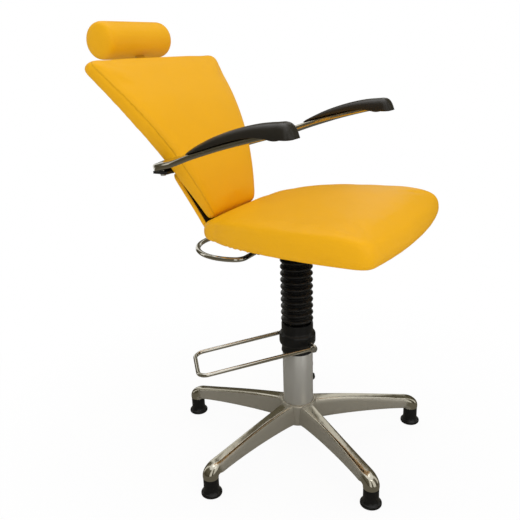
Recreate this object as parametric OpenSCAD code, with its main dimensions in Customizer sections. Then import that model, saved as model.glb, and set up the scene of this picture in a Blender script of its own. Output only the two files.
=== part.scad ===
/* [Base] */
// Distance from the column axis to each foot
foot_circle_r = 309; // [240:1:380]
// Number of legs
leg_count = 5; // [4:1:6]
// Turn of the leg star under the seat
leg_turn = 3.5; // [0:0.5:72]
// Outer diameter of the hub
hub_d = 92; // [88:1:120]
// Height of the hub bottom above the floor
hub_bottom_z = 56; // [52:1:70]
// Height of the hub top above the floor
hub_top_z = 114; // [104:1:130]
// Width of a leg where it leaves the hub
leg_root_w = 44; // [36:1:56]
// Width of a leg at its middle
leg_waist_w = 30; // [24:1:40]
// Diameter of the boss at a leg end
leg_tip_d = 38; // [34:1:48]
// Height of the foot under the leg boss
foot_h = 45; // [38:1:52]
// Diameter of the foot flange
foot_flange_d = 49; // [44:1:60]

/* [Column] */
// Outer diameter of the column tube
tube_d = 76; // [70:1:84]
// Wall of the column tube
tube_wall = 3; // [2:0.5:5]
// Height of the boot bottom edge above the floor
boot_z = 252; // [230:1:280]
// Height of the boot
boot_h = 78; // [70:1:100]
// Widest diameter of the boot
boot_bulge_d = 91; // [88:1:104]
// Diameter of the piston rod
piston_d = 28; // [24:1:34]
// Height of the bellows top ring above the floor
bellows_top_z = 534; // [500:1:560]
// Outer diameter of the bellows
bellows_d = 80; // [70:1:90]
// Number of bellows ribs
bellows_ribs = 12; // [8:1:20]

/* [Pump lever] */
// Direction of the lever seen from above
lever_turn = 130; // [110:1:150]
// Length of the lever arms
lever_len = 283; // [220:1:340]
// Distance between the two lever arms
lever_w = 126; // [110:1:150]
// Slope of the lever at rest
lever_slope = 8.5; // [4:0.5:14]
// Rod diameter of the lever
lever_rod_d = 10; // [8:0.5:12]
// Height of the lever axis above the floor
lever_z = 282; // [262:1:300]
// Distance of the lever axis behind the column axis
lever_back = 24; // [21:1:26]

/* [Seat] */
// Full width of the seat cushion
seat_w = 494; // [430:2:560]
// Distance from the column axis to the front edge
seat_front = 298; // [260:1:350]
// Distance from the column axis to the rear edge
seat_rear = 173; // [168:1:178]
// Height of the seat underside above the floor
seat_z = 574; // [566:1:590]
// Upward tilt of the seat to the front
seat_tilt = 0.7; // [0:0.1:3]
// Height of the cushion side
seat_side_h = 63; // [50:1:80]
// Rise of the crown over the cushion edge
seat_crown = 8; // [2:1:16]
// Thickness of the seat board
seat_board_t = 12; // [9:1:18]

/* [Back] */
// Rake of the back from the vertical
back_rake = 29.1; // [22:0.1:34]
// Height of the back along its rake
back_l = 415; // [360:1:460]
// Width of the back at its top
back_top_w = 498; // [420:2:540]
// Width of the back at its bottom
back_bottom_w = 196; // [170:2:240]
// Forward bulge of the back at its middle
back_bulge = 27; // [10:1:36]
// Thickness of the back cushion
back_t = 42; // [34:1:54]
// Thickness of the back cushion at its bottom
back_bottom_t = 29; // [24:1:34]
// Thickness of the back board
back_board_t = 10; // [8:1:14]

/* [Arms] */
// Distance from the middle plane to each arm
arm_x = 268; // [260:1:300]
// Width of the arm bar
arm_w = 34; // [26:1:44]
// Thickness of the arm bar
arm_t = 13; // [10:1:18]
// Width of the arm pad
arm_pad_w = 50; // [40:1:60]

/* [Headrest] */
// Diameter of the headrest roll
roll_d = 90; // [70:1:110]
// Length of the headrest roll
roll_len = 244; // [200:2:300]
// Height of the roll axis above the floor
roll_z = 1005; // [1000:1:1030]
// Distance of the roll axis behind the column axis
roll_y = 451; // [448:1:470]

/* [Release ring] */
// Rod diameter of the release ring
ring_rod_d = 12; // [8:1:14]
// Radius of the round side of the ring
ring_r = 113; // [95:1:125]
// Height of the ring above the floor
ring_z = 508; // [500:1:514]

/* [Hidden] */
$fn = 48;

// Overrun of every cut past the face it opens
cut = 1;
// Radial clearance of a running or push fit
run = 0.05;
// Gap that soft and seated pieces keep
gap = 0.3;

// Legs: the side outline of a leg from the hub to its boss
leg_root_r = hub_d * 0.3;
leg_tip_r = foot_circle_r + leg_tip_d / 2;
leg_elbow_r = foot_circle_r - leg_tip_d * 0.6;
leg_elbow_h = 35;
leg_corner_h = 6;
leg_boss_h = 3;
leg_boss_step = 0.5;
leg_arch_fall = 7;
leg_arch_low_fall = 22;
leg_arch_rise = 3;
leg_elbow_fall = 5;
leg_elbow_low_fall = 16;
leg_elbow_in = 8;
leg_elbow_top = foot_h + leg_elbow_h;
leg_elbow_under = foot_h + leg_corner_h;
leg_corner_z = foot_h + leg_corner_h;
leg_boss_z = foot_h + leg_boss_h;
leg_boss_d = leg_tip_d - 2 * leg_boss_step;
leg_arch_top = hub_top_z - leg_arch_fall;
leg_arch_under = hub_bottom_z + leg_arch_rise;
hub_floor_t = 10;
hub_hole_d = 30;
foot_stem_d = leg_boss_d - 2 * leg_boss_step;
foot_lip = 2;
foot_flange_h = 9;
stud_d = 10;
stud_sink = 16;
stud_tread = 8;
cap_d = 68;
cap_t = 5;

// Column
tube_bottom_z = hub_bottom_z + hub_floor_t;
boot_wall = 1.5;
boot_lap = 16;
tube_top_z = boot_z + boot_lap;
cylinder_wall = 3;
cylinder_space = 7;
cylinder_d = tube_d - 2 * cylinder_space;
head_h = 50;
head_z = lever_z - head_h * 0.52;
boot_top_z = boot_z + boot_h;
boot_neck_d = tube_d + 2 * boot_wall;
boot_ease = 5;
boot_shoulder = 13;
boot_top_shoulder = 11;
plug_d = 12;
plug_h = 5;
plug_z = 178;
plug_turn = -60;
piston_bottom_z = 178;
piston_space = 11;
piston_top_z = seat_z - piston_space;
piston_h = 12;
bellows_wall = 2;
bellows_depth = 8;
bellows_h = bellows_top_z - boot_top_z;
rib_pitch = bellows_h / bellows_ribs;
ring_cap_h = 6;
ring_cap_lip = 1;
washer_t = 1.5;
washer_d = 60;

// Lever
lever_bend = 24;
lever_eye_d = 19;
lever_eye_w = 11;
lever_nut_d = 15;
lever_nut_h = 5;
lever_facets = 12;

// Seat
plate_z = bellows_top_z + ring_cap_h + washer_t + gap;
plate_t = 6;
plate_w = 184;
plate_front = -92;
plate_rear = 110;
plate_top_z = plate_z + plate_t;
socket_d = 48;
socket_h = 16;
rail_x = 78;
rail_t = 3;
rail_flange_w = 25;
rail_front = -130;
rail_rear = 146;
hinge_in = 3;
hinge_drop = 22;
hinge_y = seat_rear - hinge_in;
hinge_z = seat_z - hinge_drop;
hinge_pin_d = 12;
hinge_ear_r = 12;
screw_d = 6;
screw_head_d = 11;
screw_head_h = 3.5;
board_inset = 13;
seat_side_inset = 15;
seat_screw_y = 110;
seat_rear_drop = 31;
seat_drop_start = -150;
seat_drop_power = 3;
seat_front_drop = 20;
seat_front_run = 110;

// Release ring and its ears
ring_in = 25;
ring_run = 56;
ring_y = seat_rear - ring_in;
ring_front_y = ring_y - ring_run;
ring_corner_r = 26;
ring_ear_x = 20;
ring_ear_t = 5;
ring_ear_r = 11;
journal_wall = 1;
journal_out = 3;
bush_wall = 1.5;
bush_w = 9;
journal_d = ring_rod_d + 2 * journal_wall;
journal_l = 2 * (ring_ear_x + ring_ear_t + journal_out);
bush_d = journal_d + 2 * bush_wall;

// Locking gas spring
gas_x = 60;
gas_arm = 27;
gas_lead = 14;
gas_z = hinge_z - gas_arm * (1 + cos(gas_lead)) / 2;
gas_pin_y = hinge_y + gas_arm * sin(gas_lead);
gas_pin_z = hinge_z - gas_arm * cos(gas_lead);
gas_d = 18;
gas_rod_d = 8;
gas_pin_d = 8;
gas_slack = 0.8;
gas_eye_d = 18;
gas_eye_w = 9;
gas_front = -90;
gas_len = 170;
gas_bore_l = 118;
gas_rod_l = 190;
gas_ear_t = 4;
gas_ear_gap = 1.5;
anchor_t = 12;
anchor_w = 24;

// Back
back_y = 162;
back_z = 608;
back_r = (pow(back_l / 2, 2) + pow(back_bulge, 2)) / (2 * back_bulge);
back_taper_l = 100;
back_corner_low = 18;
back_corner_high = 36;
back_crown = 4;
back_side_inset = 21;
back_side_swell = 8;
back_top_swell = 3;
back_top_ease = 1;
back_corner_ease = 2;
back_panel_t = 4;
pocket_low_share = 0.2048;
pocket_low = back_l * pocket_low_share;
pocket_inset = 15;
pocket_d = back_board_t + back_panel_t + 4 * gap;
frame_x = 45;
frame_w = 36;
frame_t = 5;
barrel_d = 20;
barrel_in = 18;
barrel_out = 76;
cross_w = 316;
cross_t = 6;
cross_d = 40;
cross_set = 6.7;
arm_seat_z = 715.5;
cross_l = (arm_seat_z - back_z) / cos(back_rake);
cross_y = rear_point(cross_l, back_t)[0] + cross_set;
frame_screw_over = 26.97;
frame_screw_share = 0.7143;
bar_step = 7.5;
bar_rise = 5;
bar_low = 25;
bar_turn_y = 30.5;
bar_turn_low = 10;
bar_first_share = 0.8453;
bar_last_share = 0.4964;
bar_first_l = cross_l * bar_first_share;
bar_last_l = back_l * bar_last_share;
bar_path_shares = [0, 0.1961, 0.3725, 0.5294, 0.7647, 0.9216, 1];
frame_screw_low_l = cross_l + frame_screw_over;
frame_screw_high_l = frame_screw_low_l + (bar_last_l - frame_screw_low_l) * frame_screw_share;
shell_t = 13;
shell_half_w = 122;
shell_low_rise = 15;
shell_low_step = 6.8;

// Arm bar, its pad and its bolts
arm_rear_in = 20.5;
arm_rear_y = cross_y + arm_rear_in;
arm_front_y = -115;
arm_lift = 108;
pad_step = 2;
arm_flat_roll = 2;
arm_lean_share = 0.008;
arm_root_share = 0.3165;
arm_root_x = cross_w * arm_root_share;
arm_bolt_d = 8;
arm_bolt_head_d = 13;
arm_bolt_head_h = 5;
arm_bolt_shares = [0.3671, 0.462];

// Headrest: its place is given for a back of this length and rake, and moves with the back's end
headrest_back_l = 415;
headrest_back_rake = 29.1;
bar_set = 6.26;
roll_turn = back_rake - headrest_back_rake;
roll_out = roll_y - back_y;
roll_up = roll_z - back_z;
roll_axis_y = back_y + roll_out * cos(roll_turn) + roll_up * sin(roll_turn)
    + (back_l - headrest_back_l) * sin(back_rake);
roll_axis_z = back_z + roll_up * cos(roll_turn) - roll_out * sin(roll_turn)
    + (back_l - headrest_back_l) * cos(back_rake);
// The bar runs along the tangent from the roll to the hollow rear face of the back
bend_axis = rear_point(back_l / 2, back_t + back_r) - [roll_axis_y, roll_axis_z];
bar_rake = -atan2(bend_axis[1], bend_axis[0]) - acos((back_r - bar_set) / norm(bend_axis));
bar_reach = -bend_axis[0] * sin(bar_rake) - bend_axis[1] * cos(bar_rake);
bar_tail = 63;
guide_drop = 26.44;
bar_w = 30;
bar_t = 5;
bar_slot = 0.15;
bar_y = 6;
bar_offset = 4.8;
core_d = 30;
core_len = 190;
core_sink = 12;
guide_len = 46;
guide_z = -bar_reach - guide_drop;
bar_len = bar_tail - guide_z;
guide_w = 44;
guide_wall = 5;
guide_flange_w = 78;
guide_flange_t = 3;
guide_screw_x = 31;
guide_screw_z = 14;
knob_d = 38;
knob_h = 18;
knob_neck_d = 16;
knob_neck_h = 4;
knob_stud_d = 8;
knob_lobes = 6;

// Point a share t of the way along a curve with two or four control points
function mix(a, b, t) = a + (b - a) * t;
function bend3(a, b, c, t) = mix(mix(a, b, t), mix(b, c, t), t);
function bend4(a, b, c, d, t) = mix(bend3(a, b, c, t), bend3(b, c, d, t), t);

// Smooth curve through points: n steps between each pair
function curve_point(a, b, c, d, t) =
    (2 * b + (c - a) * t + (2 * a - 5 * b + 4 * c - d) * t * t
    + (3 * b - a - 3 * c + d) * t * t * t) / 2;
function smooth(p, n) = concat(
    [for (i = [0 : len(p) - 2], k = [0 : n - 1])
        curve_point(p[max(i - 1, 0)], p[i], p[i + 1], p[min(i + 2, len(p) - 1)], k / n)],
    [p[len(p) - 1]]);

function unit(v) = v / norm(v);
function average(p) = [for (axis = [0 : 2]) [for (q = p) q[axis]] * [for (q = p) 1] / len(p)];

// Section points [across, up] set square to the travel t at point p
function across(t) = unit(cross([0, 0, 1], t));
function station(p, t, section) = let (s = across(t), u = cross(unit(t), s))
    [for (q = section) p + s * q[0] + u * q[1]];
function travel(path, i) = path[min(i + 1, len(path) - 1)] - path[max(i - 1, 0)];
function around(r, n) = [for (k = [0 : n - 1]) r * [cos(360 * k / n), sin(360 * k / n)]];

// Rounded rectangle section, w across and h up
function rounded(w, h, r, n) = [for (c = [0 : 3], k = [0 : n])
    let (a = 90 * c + 90 * k / n, sx = (c == 0 || c == 3) ? 1 : -1, sy = c < 2 ? 1 : -1)
    [sx * (w / 2 - r) + r * cos(a), sy * (h / 2 - r) + r * sin(a)]];

// Closed skin over rings of equal length, closed at both ends by a fan
module skin(rings) {
    n = len(rings[0]);
    m = len(rings);
    points = concat([for (r = rings, q = r) q], [average(rings[0]), average(rings[m - 1])]);
    sides = [for (k = [0 : m - 2], i = [0 : n - 1]) let (j = (i + 1) % n, a = k * n, b = a + n)
        each [[a + i, b + i, b + j], [a + i, b + j, a + j]]];
    ends = [for (i = [0 : n - 1]) let (j = (i + 1) % n, b = (m - 1) * n)
        each [[n * m, i, j], [n * m + 1, b + j, b + i]]];
    polyhedron(points = points, faces = concat(sides, ends));
}

// Skin over rings that close on themselves
module skin_loop(rings) {
    n = len(rings[0]);
    m = len(rings);
    points = [for (r = rings, q = r) q];
    polyhedron(points = points, faces = [for (k = [0 : m - 1], i = [0 : n - 1])
        let (j = (i + 1) % n, a = k * n, b = ((k + 1) % m) * n)
        each [[a + i, b + i, b + j], [a + i, b + j, a + j]]]);
}

module tube(d, bore, h) {
    difference() {
        cylinder(d = d, h = h);
        translate([0, 0, -cut]) cylinder(d = bore, h = h + 2 * cut);
    }
}

module around_legs() {
    for (k = [0 : leg_count - 1]) rotate([0, 0, 90 + leg_turn + k * 360 / leg_count]) children();
}

module mirrored() {
    children();
    mirror([1, 0, 0]) children();
}

// Half outline on x > 0, from its first to its last point on the middle line, made whole
function whole(half) = concat(half, [for (i = [len(half) - 2 : -1 : 1]) [-half[i][0], half[i][1]]]);
function inset(loop, d) = let (n = len(loop)) [for (i = [0 : n - 1])
    let (t = unit(loop[(i + 1) % n] - loop[(i + n - 1) % n])) loop[i] + d * [-t[1], t[0]]];
function shrunk(loop, c, f) = [for (q = loop) c + (q - c) * f];

// Leg outlines: side view in [distance, height], plan in [distance, half width]
leg_side = concat(
    [[leg_root_r, hub_bottom_z + cut], [leg_root_r, hub_top_z - cut]],
    [for (t = [0.15 : 0.17 : 1]) bend4([hub_d / 2, hub_top_z - cut], [foot_circle_r * 0.42, leg_arch_top],
        [foot_circle_r * 0.7, hub_top_z - leg_arch_low_fall], [leg_elbow_r, leg_elbow_top], t)],
    [for (t = [0.2 : 0.2 : 1]) bend4([leg_elbow_r, leg_elbow_top],
        [foot_circle_r, leg_elbow_top - leg_elbow_fall], [leg_tip_r, leg_elbow_top - leg_elbow_low_fall], [leg_tip_r + cut, leg_corner_z], t)],
    [[leg_tip_r + cut, leg_boss_z], [foot_circle_r - leg_tip_d * 0.62, leg_boss_z]],
    [for (t = [0 : 0.25 : 1]) bend3([leg_elbow_r - leg_elbow_in, leg_elbow_under],
        [foot_circle_r * 0.6, leg_arch_under], [hub_d / 2, hub_bottom_z + cut], t)]);
leg_half_plan = [for (t = [0 : 0.125 : 1]) bend4([leg_root_r, leg_root_w / 2],
    [foot_circle_r * 0.34, leg_waist_w / 2], [foot_circle_r * 0.6, leg_waist_w * 0.42],
    [foot_circle_r, leg_tip_d / 2], t)];
leg_plan = concat([for (i = [len(leg_half_plan) - 1 : -1 : 0]) leg_half_plan[i]],
    [for (q = leg_half_plan) [q[0], -q[1]]],
    [for (a = [-75 : 15 : 75]) [foot_circle_r, 0] + leg_tip_d / 2 * [cos(a), sin(a)]]);

module leg() {
    intersection() {
        rotate([90, 0, 0]) linear_extrude(height = 2 * leg_root_w, center = true) polygon(leg_side);
        linear_extrude(height = 2 * hub_top_z) polygon(leg_plan);
    }
    translate([foot_circle_r, 0, foot_h]) cylinder(d = leg_boss_d, h = leg_boss_z - foot_h + 2 * cut);
}

// One casting: hub with its column socket, legs, and a blind hole for each foot stud
module star_base() {
    color([0.76, 0.75, 0.7]) difference() {
        union() {
            around_legs() leg();
            translate([0, 0, hub_bottom_z]) cylinder(d = hub_d, h = hub_top_z - hub_bottom_z);
        }
        translate([0, 0, tube_bottom_z]) cylinder(r = tube_d / 2 + run, h = hub_top_z);
        translate([0, 0, hub_bottom_z - cut]) cylinder(d = hub_hole_d, h = hub_top_z);
        around_legs() translate([foot_circle_r, 0, foot_h - cut])
            cylinder(r = stud_d / 2 + run, h = stud_sink + 2 * cut);
    }
}

module glide_feet() {
    r = foot_flange_d / 2;
    stem = foot_stem_d / 2;
    color([0.07, 0.07, 0.07]) around_legs() translate([foot_circle_r, 0, 0]) difference() {
        rotate_extrude() polygon([[0, 0], [r - foot_lip, 0], [r, foot_lip], [r, foot_flange_h - foot_lip],
            [r - foot_lip, foot_flange_h], [stem, foot_flange_h + foot_lip], [stem, foot_h], [0, foot_h]]);
        translate([0, 0, stud_tread]) cylinder(r = stud_d / 2 + run, h = foot_h);
    }
}

module glide_studs() {
    color([0.7, 0.7, 0.72]) around_legs() translate([foot_circle_r, 0, stud_tread])
        cylinder(d = stud_d, h = foot_h + stud_sink - stud_tread);
}

module hub_cap() {
    color([0.08, 0.08, 0.08]) union() {
        translate([0, 0, hub_bottom_z - cap_t]) cylinder(d = cap_d, h = cap_t);
        translate([0, 0, hub_bottom_z - cut]) cylinder(r = hub_hole_d / 2 - run, h = hub_floor_t - gap);
    }
}

module column_tube() {
    color([0.72, 0.72, 0.72]) difference() {
        translate([0, 0, tube_bottom_z]) tube(tube_d, tube_d - 2 * tube_wall, tube_top_z - tube_bottom_z);
        rotate([0, 0, plug_turn]) translate([0, 0, plug_z]) rotate([0, 90, 0])
            cylinder(r = plug_d * 0.3 + run, h = tube_d);
    }
}

// Domed plug in the side of the tube
module column_plug() {
    rise = plug_h;
    color([0.06, 0.06, 0.06]) rotate([0, 0, plug_turn]) translate([0, 0, plug_z]) rotate([0, 90, 0]) union() {
        translate([0, 0, tube_d / 2 - tube_wall]) cylinder(d = plug_d * 0.6, h = tube_wall + cut);
        translate([0, 0, tube_d / 2]) rotate_extrude()
            polygon(concat([[0, 0]], [for (a = [0 : 15 : 90]) [plug_d / 2 * cos(a), rise * sin(a)]]));
    }
}

module pump_cylinder() {
    bore = cylinder_d - 2 * cylinder_wall;
    color([0.55, 0.55, 0.57]) difference() {
        translate([0, 0, tube_bottom_z]) cylinder(d = cylinder_d, h = head_z - tube_bottom_z);
        translate([0, 0, tube_bottom_z + 2 * cylinder_wall]) cylinder(d = bore, h = head_z);
    }
}

module lever_axis(d, l) {
    rotate([0, 0, lever_turn]) translate([-lever_back, 0, lever_z]) rotate([90, 0, 0])
        cylinder(d = d, h = l, center = true);
}

// Guides the piston rod and carries the lever shaft
module pump_head() {
    color([0.5, 0.5, 0.52]) difference() {
        translate([0, 0, head_z]) cylinder(r = tube_d / 2 - tube_wall - run, h = head_h);
        translate([0, 0, head_z - cut]) cylinder(r = piston_d / 2 + run, h = head_h + 2 * cut);
        lever_axis(lever_rod_d + 2 * run, 2 * tube_d);
    }
}

function boot_profile(wall) = let (neck = boot_neck_d / 2 - wall, belly = boot_bulge_d / 2 - wall,
        low = boot_z + boot_lap, high = boot_top_z - boot_lap * 1.4)
    concat([[neck, boot_z], [neck, low]],
        [for (t = [0.25 : 0.25 : 1]) bend4([neck, low], [neck, low + boot_ease], [belly, low + boot_ease],
            [belly, low + boot_shoulder], t)],
        [for (t = [0 : 0.25 : 0.75]) bend4([belly, high - boot_top_shoulder], [belly, high - boot_ease],
            [neck, high - boot_ease], [neck, high], t)],
        [[neck, high], [neck, boot_top_z]]);

module pump_boot() {
    outer = boot_profile(0);
    inner = boot_profile(boot_wall - run);
    color([0.06, 0.06, 0.06]) difference() {
        rotate_extrude() polygon(concat(outer, [for (i = [len(inner) - 1 : -1 : 0]) inner[i]]));
        lever_axis(lever_rod_d + 2 * cut, 2 * boot_bulge_d);
    }
}

// Ribbed rubber sleeve with its bore, one round rib after another
module bellows() {
    r = bellows_d / 2;
    steps = 6;
    outer = [for (k = [0 : bellows_ribs * steps])
        let (a = 360 * (k / steps - floor(k / steps)))
        [r - bellows_depth * (1 + cos(a)) / 2, boot_top_z + k * rib_pitch / steps]];
    color([0.05, 0.05, 0.05]) rotate_extrude() polygon(concat(outer,
        [for (i = [len(outer) - 1 : -1 : 0]) outer[i] - [bellows_wall, 0]]));
}

// Lever frame: arms along +X, shaft along Y
module in_lever() {
    rotate([0, 0, lever_turn]) translate([-lever_back, 0, lever_z]) rotate([0, lever_slope, 0]) children();
}

module pump_lever() {
    y = lever_w / 2;
    b = lever_bend;
    start = lever_eye_d * 0.3;
    corner = [for (a = [0 : 15 : 90]) [lever_len - b + b * sin(a), y - b + b * cos(a), 0]];
    half = concat([[start, y, 0], [lever_len * 0.5, y, 0]], corner);
    path = concat(half, [for (i = [len(half) - 1 : -1 : 0]) [half[i][0], -half[i][1], 0]]);
    rod = around(lever_rod_d / 2, lever_facets);
    color([0.8, 0.8, 0.8]) in_lever() difference() {
        union() {
            skin([for (i = [0 : len(path) - 1]) station(path[i], travel(path, i), rod)]);
            for (s = [-1, 1]) translate([0, s * y, 0]) rotate([90, 0, 0])
                cylinder(d = lever_eye_d, h = lever_eye_w, center = true);
        }
        rotate([90, 0, 0]) cylinder(r = lever_rod_d / 2 + run, h = 2 * lever_w, center = true);
    }
}

module lever_shaft() {
    color([0.6, 0.6, 0.62]) in_lever() rotate([90, 0, 0])
        cylinder(d = lever_rod_d, h = lever_w + lever_eye_w, center = true);
}

module lever_nuts() {
    color([0.78, 0.78, 0.78]) in_lever() for (s = [-1, 1])
        translate([0, s * (lever_w + lever_eye_w + lever_nut_h) / 2, 0]) rotate([90, 0, 0])
            cylinder(d = lever_nut_d, h = lever_nut_h, center = true, $fn = 6);
}

module piston_rod() {
    color([0.82, 0.82, 0.84]) union() {
        translate([0, 0, piston_bottom_z]) cylinder(d = piston_d, h = piston_top_z - piston_bottom_z);
        translate([0, 0, piston_bottom_z])
            cylinder(r = cylinder_d / 2 - cylinder_wall - run, h = piston_h);
    }
}

module bellows_ring() {
    color([0.08, 0.08, 0.08]) translate([0, 0, bellows_top_z])
        tube(bellows_d + 2 * ring_cap_lip, piston_d + 2 * run, ring_cap_h);
}

module thrust_washer() {
    color([0.85, 0.83, 0.76]) translate([0, 0, bellows_top_z + ring_cap_h])
        tube(washer_d, piston_d + 2 * run, washer_t);
}

module swivel_plate() {
    color([0.12, 0.12, 0.12]) difference() {
        union() {
            translate([-plate_w / 2, plate_front, plate_z]) cube([plate_w, plate_rear - plate_front, plate_t]);
            translate([0, 0, plate_z]) cylinder(d = socket_d, h = plate_t + socket_h);
        }
        translate([0, 0, plate_z - cut]) cylinder(r = piston_d / 2 + run, h = plate_t + socket_h + 2 * cut);
    }
}

// Seat frame: level with the board underside, tilted up to the front
module in_seat() {
    translate([0, 0, seat_z]) rotate([-seat_tilt, 0, 0]) children();
}
function underside(y) = seat_z - y * tan(seat_tilt);

module hinge_bore(r) {
    translate([0, hinge_y, hinge_z]) rotate([0, 90, 0]) cylinder(r = r, h = 2 * plate_w, center = true);
}

module seat_rails() {
    web = [[rail_front, plate_top_z], [rail_rear, plate_top_z], [hinge_y, hinge_z - hinge_ear_r],
        [hinge_y, hinge_z + hinge_ear_r], [rail_rear, underside(rail_rear)], [rail_front, underside(rail_front)]];
    color([0.12, 0.12, 0.12]) mirrored() difference() {
        union() {
            intersection() {
                union() {
                    translate([rail_x, 0, 0]) rotate([90, 0, 90]) linear_extrude(height = rail_t) polygon(web);
                    translate([rail_x, hinge_y, hinge_z]) rotate([0, 90, 0])
                        cylinder(r = hinge_ear_r, h = rail_t);
                }
                in_seat() translate([0, -seat_front, -seat_z]) cube([plate_w, 2 * seat_front, seat_z]);
            }
            in_seat() translate([rail_x + rail_t - rail_flange_w, rail_front, -rail_t])
                cube([rail_flange_w, rail_rear - rail_front, rail_t]);
        }
        hinge_bore(hinge_pin_d / 2 + run);
        seat_screw_places() translate([0, 0, -2 * rail_t]) cylinder(r = screw_d / 2 + run, h = 3 * rail_t);
    }
}

module seat_screw_places() {
    in_seat() for (sx = [-1, 1], sy = [-1, 1])
        translate([sx * (rail_x - rail_flange_w * 0.45), sy * seat_screw_y, 0]) children();
}

// Seat outline from the front middle round the right side to the rear middle
seat_half = let (w = seat_w / 2, f = -seat_front, r = seat_rear) concat(
    [for (t = [0 : 0.25 : 0.75]) bend3([0, f], [w * 0.45, f], [w * 0.85, f * 0.915], t)],
    [for (t = [0 : 0.2 : 0.8]) bend3([w * 0.85, f * 0.915], [w * 1.005, f * 0.881], [w * 1.008, f * 0.72], t)],
    [for (t = [0 : 0.15 : 0.9]) bend4([w * 1.008, f * 0.72], [w * 1.016, f * 0.292], [w * 0.92, r * 0.23],
        [w * 0.755, r * 0.644], t)],
    [for (t = [0 : 0.17 : 0.9]) bend4([w * 0.755, r * 0.644], [w * 0.71, r * 0.87], [w * 0.6, r],
        [w * 0.37, r], t)],
    [[w * 0.37, r], [w * 0.18, r], [0, r]]);
seat_loop = whole(seat_half);

// Height of the cushion edge: it falls to the rear and a little to the front
function seat_edge(y) = seat_side_h
    - seat_rear_drop * pow(max(y - seat_drop_start, 0) / (seat_rear - seat_drop_start), seat_drop_power)
    - seat_front_drop * pow(max(seat_front_run - y - seat_front, 0) / seat_front_run, 2);

function seat_ring(d, share) = [for (q = inset(seat_loop, d)) [q[0], q[1], seat_edge(q[1]) * share]];
function seat_top_ring(d, f) = [for (q = shrunk(inset(seat_loop, d), [0, -seat_front * 0.2], f))
    [q[0], q[1], seat_edge(q[1]) + seat_crown * (1 - f * f)]];

// Rings of the cushion side: share of its inset and share of its height
seat_side_shares = [[0.53, 0], [0.167, 0.1], [0, 0.35], [0.033, 0.6], [0.2, 0.8], [0.53, 0.94], [1, 0.99]];

// Seat cushion: drawn-in sides, a rounded edge, a crown, and a pocket for the board
module seat_cushion() {
    pocket = inset(seat_loop, board_inset - gap);
    color([0.95, 0.68, 0.12]) in_seat() skin(concat(
        [[for (q = pocket) [q[0], q[1], seat_board_t + gap]], [for (q = pocket) [q[0], q[1], 0]]],
        [for (s = seat_side_shares) seat_ring(s[0] * seat_side_inset, s[1])],
        [for (f = [0.96, 0.84, 0.66, 0.44, 0.2]) seat_top_ring(seat_side_inset, f)]));
}

module seat_board() {
    color([0.72, 0.55, 0.36]) difference() {
        in_seat() linear_extrude(height = seat_board_t) polygon(inset(seat_loop, board_inset));
        seat_screw_places() translate([0, 0, -cut]) cylinder(r = screw_d / 2 + run, h = seat_board_t * 0.8 + cut);
    }
}

module seat_screws() {
    color([0.6, 0.6, 0.62]) seat_screw_places() union() {
        translate([0, 0, -rail_t - screw_head_h]) cylinder(d = screw_head_d, h = screw_head_h);
        translate([0, 0, -rail_t - cut]) cylinder(d = screw_d, h = rail_t + seat_board_t * 0.75);
    }
}

module hinge_pin() {
    color([0.62, 0.62, 0.64]) translate([0, hinge_y, hinge_z]) rotate([0, 90, 0])
        cylinder(d = hinge_pin_d, h = 2 * (rail_x + rail_t + cut), center = true);
}

module ring_ears() {
    color([0.12, 0.12, 0.12]) mirrored() difference() {
        translate([ring_ear_x - ring_ear_t / 2, 0, 0]) union() {
            translate([0, ring_front_y, ring_z]) rotate([0, 90, 0]) cylinder(r = ring_ear_r, h = ring_ear_t);
            translate([0, ring_front_y - ring_ear_r, ring_z]) cube([ring_ear_t, 2 * ring_ear_r, plate_z - ring_z]);
        }
        translate([0, ring_front_y, ring_z]) rotate([0, 90, 0]) cylinder(r = bush_d / 2 + run, h = plate_w);
    }
}

// D-shaped rod with a round side, and the journal tube on its straight front side
module release_ring() {
    corner_x = sqrt(pow(ring_r - ring_corner_r, 2) - pow(ring_y - ring_front_y - ring_corner_r, 2));
    dip = atan2(ring_front_y + ring_corner_r - ring_y, corner_x);
    corner = [for (k = [0 : 4]) let (a = mix(-90, dip, k / 4))
        [corner_x + ring_corner_r * cos(a), ring_front_y + ring_corner_r * (1 + sin(a)), ring_z]];
    bow = [for (k = [1 : 12]) let (a = mix(dip, 90, k / 12))
        [ring_r * cos(a), ring_y + ring_r * sin(a), ring_z]];
    half = concat([[0, ring_front_y, ring_z]], corner, bow);
    loop = concat(half, [for (i = [len(half) - 2 : -1 : 1]) [-half[i][0], half[i][1], ring_z]]);
    n = len(loop);
    rod = around(ring_rod_d / 2, 12);
    color([0.75, 0.72, 0.66]) union() {
        skin_loop([for (i = [0 : n - 1])
            station(loop[i], loop[(i + 1) % n] - loop[(i + n - 1) % n], rod)]);
        translate([0, ring_front_y, ring_z]) rotate([0, 90, 0])
            cylinder(d = journal_d, h = journal_l, center = true);
    }
}

module ring_bushes() {
    color([0.1, 0.1, 0.1]) mirrored() translate([ring_ear_x - bush_w / 2, ring_front_y, ring_z])
        rotate([0, 90, 0]) tube(bush_d, journal_d + 2 * run, bush_w);
}

module gas_cylinder() {
    color([0.1, 0.1, 0.1]) difference() {
        translate([gas_x, gas_front, gas_z]) rotate([-90, 0, 0]) cylinder(d = gas_d, h = gas_len);
        translate([gas_x, gas_front + gas_len - gas_bore_l, gas_z]) rotate([-90, 0, 0])
            cylinder(r = gas_rod_d / 2 + run, h = gas_bore_l + cut);
    }
}

// Block that hangs the front end of the gas spring under the swivel plate
module gas_anchor() {
    color([0.12, 0.12, 0.12]) difference() {
        translate([gas_x - anchor_w / 2, gas_front, gas_z - gas_d / 2])
            cube([anchor_w, anchor_t, plate_z - gas_z + gas_d / 2]);
        translate([gas_x, gas_front - cut, gas_z]) rotate([-90, 0, 0]) cylinder(r = gas_d / 2 + run, h = anchor_t + 2 * cut);
    }
}

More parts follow.
